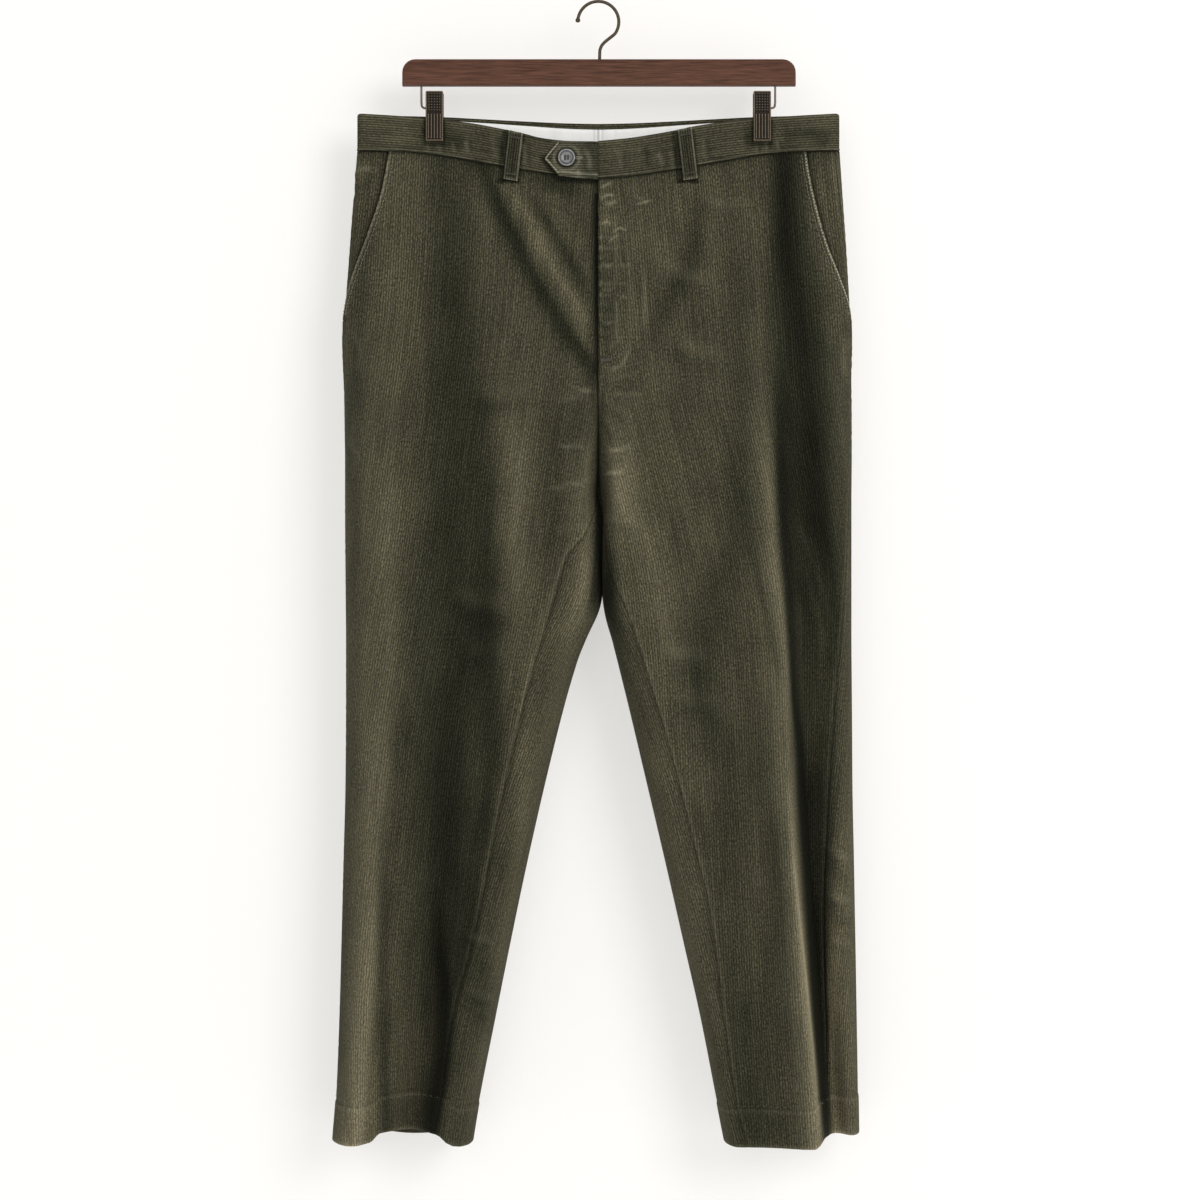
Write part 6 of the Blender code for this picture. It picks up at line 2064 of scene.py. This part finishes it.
# %% Grain and wear groups for the hard materials
def make_fine_grain():
    group, given, made = new_group(
        "fine_grain", (("Scale", 400.0), ("Stretch", 1.0)), (("Value", "NodeSocketFloat"),))
    place = node(group, "TexCoord").outputs["Object"]
    split = node(group, "SeparateXYZ", {0: place})
    squeezed = node(group, "CombineXYZ", {
        "X": maths(group, "DIVIDE", split.outputs["X"], given["Stretch"]),
        "Y": split.outputs["Y"], "Z": split.outputs["Z"],
    }).outputs[0]
    value = node(group, "TexNoise", {
        "Vector": squeezed, "Scale": given["Scale"], "Detail": 5.0, "Roughness": 0.6,
    }).outputs["Fac"]
    group.links.new(value, made["Value"])
    return group


def make_edge_wear():
    group, given, made = new_group(
        "edge_wear", (("Amount", 1.0), ("Grain", 0.5)), (("Mask", "NodeSocketFloat"),))
    pointed = node(group, "NewGeometry").outputs["Pointiness"]
    mask = times(group, spread(group, pointed, 0.505, 0.58), given["Amount"])
    mask = times(group, mask, maths(group, "ADD", given["Grain"], 0.3))
    mask = node(group, "Clamp", {"Value": mask}).outputs[0]
    group.links.new(mask, made["Mask"])
    return group


fine_grain_group, edge_wear_group = make_fine_grain(), make_edge_wear()


def hard_material(name, dark, light, worn, roughness, metallic, grain_scale, stretch=1.0,
                  wear=1.0, relief=0.15, gloss=0.12):
    material, tree, shader = new_material(name, roughness, 0.0)
    preset(shader, Metallic=metallic, Specular_IOR_Level=gloss)
    grain = use_group(tree, fine_grain_group, Scale=grain_scale, Stretch=stretch).outputs[0]
    colour = mix_colour(tree, spread(tree, grain, 0.36, 0.64), dark, light)
    worn_mask = use_group(tree, edge_wear_group, Amount=wear, Grain=grain).outputs[0]
    colour = mix_colour(tree, worn_mask, colour, worn)
    # Painted shade where the mesh says: the button's grooves and the hook wire's sides.
    with_painted_shade = mix_colour(tree, marked(tree, "shade"), colour, tuple(0.25 * v for v in dark))
    tree.links.new(with_painted_shade, shader.inputs["Base Color"])
    rough = node(tree, "MapRange", {
        "Value": grain, "To Min": roughness - 0.08, "To Max": roughness + 0.10}).outputs[0]
    tree.links.new(rough, shader.inputs["Roughness"])
    raise_surface(tree, shader, grain, relief, 0.0003)
    return material


horn = hard_material("button_horn", (0.12, 0.12, 0.125), (0.29, 0.29, 0.297), (0.46, 0.46, 0.45),
                     0.34, 0.0, 230.0, stretch=2.5, wear=0.5, relief=0.05, gloss=0.4)
bronze = hard_material("bronzed_steel", (0.006, 0.0048, 0.0034), (0.014, 0.0108, 0.0075),
                       (0.17, 0.135, 0.095), 0.50, 0.3, 700.0, wear=1.8)
wire = hard_material("bronzed_wire", (0.044, 0.034, 0.020), (0.105, 0.084, 0.050),
                     (0.34, 0.28, 0.18), 0.42, 0.3, 700.0, wear=0.3)
wood = hard_material("stained_beech", (0.026, 0.0100, 0.0058), (0.098, 0.041, 0.025),
                     (0.15, 0.07, 0.045), 0.55, 0.0, 800.0, stretch=22.0, wear=0.5, relief=0.12)
print("hard materials ready")

# %% Button
BUTTON_SEAT = float(waist("front_depth", BUTTON_OUT - BUTTON_DIAMETER / 2)) + 0.3
BUTTON_PLACE = (-BUTTON_OUT, -BUTTON_SEAT, -BUTTON_DROP)
BUTTON_HOLES_OUT, BUTTON_HOLE = 1.5, 0.95


def build_button():
    radius = BUTTON_DIAMETER / 2
    profile = [
        (0.0, 1.55), (2.2, 1.55), (3.6, 1.62), (4.3, 1.85), (4.9, 2.35), (5.4, 2.75),
        (5.9, 2.95), (6.4, 2.82), (6.75, 2.86), (7.3, 3.25), (7.8, 3.38), (8.3, 3.1),
        (radius - 0.08, 2.5), (radius, 1.9), (radius - 0.2, 1.2), (8.0, 0.45), (6.9, 0.0), (0.0, 0.0),
    ]
    # Painted shade in the centre well, in the ring groove and round the rim's underside.
    shades = [0.7, 0.6, 0.2, 0.05, 0.0, 0.4, 0.95, 1.0, 1.0, 0.3, 0.0, 0.5, 1.0] + 5 * [1.0]
    disc = turned("waist_button_disc", profile, BUTTON_PLACE, 64, horn, "horn", shades)
    holes = []
    for sx in (-1, 1):
        for sz in (-1, 1):
            place = (BUTTON_PLACE[0] + sx * BUTTON_HOLES_OUT, BUTTON_PLACE[1] + 1.0,
                     BUTTON_PLACE[2] + sz * BUTTON_HOLES_OUT)
            hole = turned("hole", [(0.0, 6.0), (BUTTON_HOLE, 6.0), (BUTTON_HOLE, 0.0), (0.0, 0.0)],
                          place, 16, horn, None)
            holes.append(hole)
    for hole in holes:
        cut = disc.modifiers.new("hole", "BOOLEAN")
        cut.operation, cut.solver, cut.object = "DIFFERENCE", "EXACT", hole
    bpy.context.view_layer.update()
    seen = disc.evaluated_get(bpy.context.evaluated_depsgraph_get())
    mesh = bpy.data.meshes.new_from_object(seen)
    disc.modifiers.clear()
    disc.data = mesh
    for hole in holes:
        bpy.data.objects.remove(hole)
    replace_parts(disc, "waist_button")


build_button()
x0, y0, z0 = BUTTON_PLACE
button_thread = []
for sx in (-1, 1):
    for k in range(4):
        shift = (k - 1.5) * 0.34
        a = np.array([x0 + sx * BUTTON_HOLES_OUT + shift, y0 - 1.75, z0 - BUTTON_HOLES_OUT - 0.3])
        b = np.array([x0 + sx * BUTTON_HOLES_OUT + shift, y0 - 1.75, z0 + BUTTON_HOLES_OUT + 0.3])
        button_thread.append((a, b, np.array([0.0, -1.0, 0.0])))
strands("button_thread", button_thread, 0.2, dark_thread, 1.2)

hole_ends = []
for k in range(30):
    x = -30.0 + k * 0.52
    for side in (-1, 1):
        wide = 1.35 if k < 28 else 1.35 - 0.5 * (k - 27)
        hole_ends += stitch((x, BUTTON_DROP - 0.3 + side * 0.12),
                            (x, BUTTON_DROP - 0.3 + side * wide), "front")
strands("buttonhole_stitches", hole_ends, 0.24, worn_thread, 0.9)
print("button and buttonhole made")

# %% Zip teeth and slider
zip_teeth = []
rows = np.arange(tape_panel.drop[0].mean() + 4, tape_panel.drop[-1].mean() - 4, ZIP_TOOTH_PITCH)
mid_column = int(np.argmin(np.abs(tape_panel.grid[0, :, 0] - ZIP_CENTRE_OUT)))
line_x = tape_panel.grid[:, mid_column]
line_way = tape_way[:, mid_column]
for k, drop in enumerate(rows):
    centre = np.array([np.interp(drop, -line_x[:, 2], line_x[:, axis]) for axis in range(3)])
    out = np.array([np.interp(drop, -line_x[:, 2], line_way[:, axis]) for axis in range(3)])
    out /= np.linalg.norm(out)
    side = np.array([1.0, 0.0, 0.0])
    up = np.cross(side, out)
    shift = (0.5 if k % 2 else -0.5) * side
    zip_teeth.append((centre - out * (0.8 + ZIP_TOOTH[1] / 2) + shift, (side, out, up)))
boxes("fly_zip_teeth", zip_teeth, ZIP_TOOTH, bronze)
slider_at, slider_axes = zip_teeth[1]
side, out, up = slider_axes
slider = boxes("fly_zip_slider", [
    (slider_at + out * 0.3, (side * 6.4, out * 2.0, up * 8.0)),
    (slider_at + out * 1.6 - up * 0.5, (side * 1.8, out * 1.2, up * 5.0)),
    (slider_at + out * 1.9 - up * 7.5, (side * 4.6, out * 0.9, up * 12.0)),
], (1, 1, 1), bronze)
slider.modifiers["eased"].width, slider.modifiers["eased"].segments = 0.4 * MM, 2
print("zip teeth:", len(zip_teeth))

# %% [markdown]
# ## The hanger
# The hanger is plain: a stained bar, a bronzed hook and two stamped clips. The bar, pins and wires
# keep their CAD solids and only get a finish. The hook is swept again with more points, and each
# clip gets its stamped face: a raised rim, small dots above and long ribs below.

# %% Finishes on the kept solids
def finish_with(name, material):
    materials = bpy.data.objects[name].data.materials
    materials.clear()
    materials.append(material)


finish_with("hanger_bar", wood)
for half in HALVES:
    for name in ("clip_pin_", "clip_wire_"):
        finish_with(name + half, bronze)
print("finished in place: bar, pins and wires")

# %% The hook
HOOK_SIDES, HOOK_TURN_POINTS = 28, 90


def build_hook():
    centre = HOOK_RADIUS - HOOK_WIRE / 2
    end = math.radians(166)
    angles = end - np.linspace(0, math.radians(200), HOOK_TURN_POINTS)
    turn = np.stack([HOOK_RADIUS * np.cos(angles), centre - HOOK_RADIUS * np.sin(angles)], 1)
    neck = np.array([(11.2, 35.3), (6.0, 39.6), (2.9, 43.6), (1.5, 48.5), (1.3, BAR_TOP_DROP - 0.3)])
    join = np.concatenate([turn[-4:], neck])
    place = run_length(join)
    at = np.linspace(place[3], place[-1], 34)[1:]
    neck = np.stack([smooth(place, join[:, k], at) for k in (0, 1)], 1)
    ball = np.array([5.6, 5.5, 5.2, 4.6, 3.9, 3.0, 2.2, 1.6, 0.9])
    sizes = [0.5, 1.1, 1.7, 2.2, 2.45, 2.45, 2.15, 1.8, 1.65]
    angles = end + ball / HOOK_RADIUS
    lead = np.stack([HOOK_RADIUS * np.cos(angles), centre - HOOK_RADIUS * np.sin(angles)], 1)
    path = np.concatenate([lead, turn, neck])
    radii = np.concatenate([sizes, np.full(len(turn) + len(neck), HOOK_WIRE / 2)])
    along = np.gradient(path, axis=0)
    along /= np.linalg.norm(along, axis=1)[:, None]
    angle = 2 * np.pi * np.arange(HOOK_SIDES) / HOOK_SIDES
    across = radii[:, None] * np.cos(angle)[None]
    points = np.stack([
        path[:, :1] + across * along[:, 1:], radii[:, None] * np.sin(angle)[None],
        -(path[:, 1:] - across * along[:, :1]),
    ], 2)
    rings = points.shape[0]
    k = np.arange(HOOK_SIDES)
    faces = []
    for ring in range(rings - 1):
        a, b = ring * HOOK_SIDES, (ring + 1) * HOOK_SIDES
        j = (k + 1) % HOOK_SIDES
        faces += np.stack([a + k, a + j, b + j, b + k], 1).tolist()
    faces += [list(k[::-1]), list((rings - 1) * HOOK_SIDES + k)]
    thing = add_mesh("hook_wire", (points.reshape(-1, 3) * MM).tolist(), faces, wire)
    # Painted shade on the wire's sides, which leaves a painted highlight down its middle.
    thing.data.attributes.new("shade", "FLOAT", "POINT").data.foreach_set(
        "value", np.tile(np.abs(np.cos(angle)) ** 2, rings).astype(np.float32))
    thing.data.shade_smooth()
    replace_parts(on_root(thing), "hanger_hook")
    return thing


hook = build_hook()
print("hook faces:", len(hook.data.polygons))

# %% Stamped clip faces
CLIP_STEP = 0.38  # fine enough for dots 1.6 mm across
DOT_PITCH_ACROSS, DOT_PITCH_DOWN = 2.7, 2.75
DOT_ROWS_DROP = (CLIP_TOP_DROP + 2.6, 108.4)
RIBS_DROP = (111.0, 137.2)
RIB_COUNT, RIB_PITCH, RIB_HIGH = 5, 3.0, 0.9


def stamped(x, drop):
    """Relief of a clip's face in millimetres, from x off its middle line and drop."""
    half_wide = CLIP_WIDTH / 2
    edge = np.minimum(half_wide - np.abs(x), np.minimum(drop - CLIP_TOP_DROP, CLIP_BOTTOM_DROP - drop))
    relief = 0.55 * bell(edge - 0.95, 0.6, 4) - 0.5 * bell(edge, 0.35)
    dots = 1.0
    for place, pitch in ((x, DOT_PITCH_ACROSS), (drop - DOT_ROWS_DROP[0], DOT_PITCH_DOWN)):
        dots = dots * bell(((place / pitch + 0.5) % 1 - 0.5) * pitch, 0.75)
    in_dots = (step_up(DOT_ROWS_DROP[0] - 1.2, DOT_ROWS_DROP[0] - 0.8, drop)
               * (1 - step_up(DOT_ROWS_DROP[1] - 0.4, DOT_ROWS_DROP[1], drop)) * (np.abs(x) < 6.9))
    relief += 0.5 * dots * in_dots
    groove = bell(drop - 109.4, 0.5) * (np.abs(x) < 7.2)
    relief -= 0.35 * groove
    place = (x / RIB_PITCH + 0.5) % 1 - 0.5
    ribs = bell(place * RIB_PITCH, 0.85, 4) * (np.abs(x) < RIB_PITCH * RIB_COUNT / 2)
    ends = step_up(RIBS_DROP[0], RIBS_DROP[0] + 1.6, drop) * (
        1 - step_up(RIBS_DROP[1] - 1.6, RIBS_DROP[1], drop))
    return relief + RIB_HIGH * ribs * ends


def build_clip_face(half, face):
    sign = -1 if face == "front" else 1
    seat = float(waist(face + "_depth", CLIP_OUT - CLIP_WIDTH / 2)) + 0.4
    xs = np.arange(-CLIP_WIDTH / 2, CLIP_WIDTH / 2 + 0.01, CLIP_STEP)
    drops = np.linspace(CLIP_TOP_DROP, CLIP_BOTTOM_DROP, int(50 / CLIP_STEP) + 1)
    x, drop = np.meshgrid(xs, drops)
    corner = np.maximum(0, np.abs(x) - (CLIP_WIDTH / 2 - 1.5)) ** 2
    corner = corner + np.maximum(0, 1.5 - np.minimum(drop - CLIP_TOP_DROP, CLIP_BOTTOM_DROP - drop)) ** 2
    squeeze = np.where(corner > 2.25, np.sqrt(corner) - 1.5, 0.0)
    height = CLIP_THICK - 0.9 + stamped(x, drop)
    x = x - np.sign(x) * squeeze * 0.7
    drop = drop + np.sign(114 - drop) * squeeze * 0.7
    outer = np.stack([HALVES[half] * CLIP_OUT + x, sign * (seat + height), -drop], 2)
    inner = outer.copy()
    inner[:, :, 1] = sign * seat
    made = shell(f"clip_face_{face}_{half}", outer, inner, Panel("clip", half, outer, x, drops),
                 [bronze, bronze])
    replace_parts(made, f"clip_jaw_{face}_{half}")
    return made


for half in HALVES:
    for face in ("front", "back"):
        made = build_clip_face(half, face)
print("clip faces:", 4, "with", len(made.data.polygons), "faces each")

# %% [markdown]
# ## Sheets
# The flat size that a cloth piece was cut from is worked out from its net, and printed for the leg
# panels, the pocket facings and the bands. The legs and bands hang from the clips; the loops, tab and
# tape are held flat by their stitches.

# %% Flat sizes
def flat_size(panel):
    """Width and length of the rectangle that a panel is cut from, in metres."""
    across, along = panel.across, panel.along
    return (float(across.max() - across.min()) * MM, float(along.max() - along.min()) * MM)


sheets = {}
for name, panel in {**panels, **bands}.items():
    sheets[name] = (panel_objects[name], *flat_size(panel), panel.area())
for name, (thing, wide, long, area) in sheets.items():
    print(f"{name}: {wide:.3f} x {long:.3f} m, {area:.4f} of {wide * long:.4f} m2")

round(tab_panel.area(), 5)
for name, (panel, made) in loops.items():
    wide, long = flat_size(panel)
for panel, thing, held in ((shield_panel, shield, "hung"), (tape_panel, tape, "stretched")):
    wide, long = flat_size(panel)
print("sheets declared:", len(sheets) + 4 + len(loops))
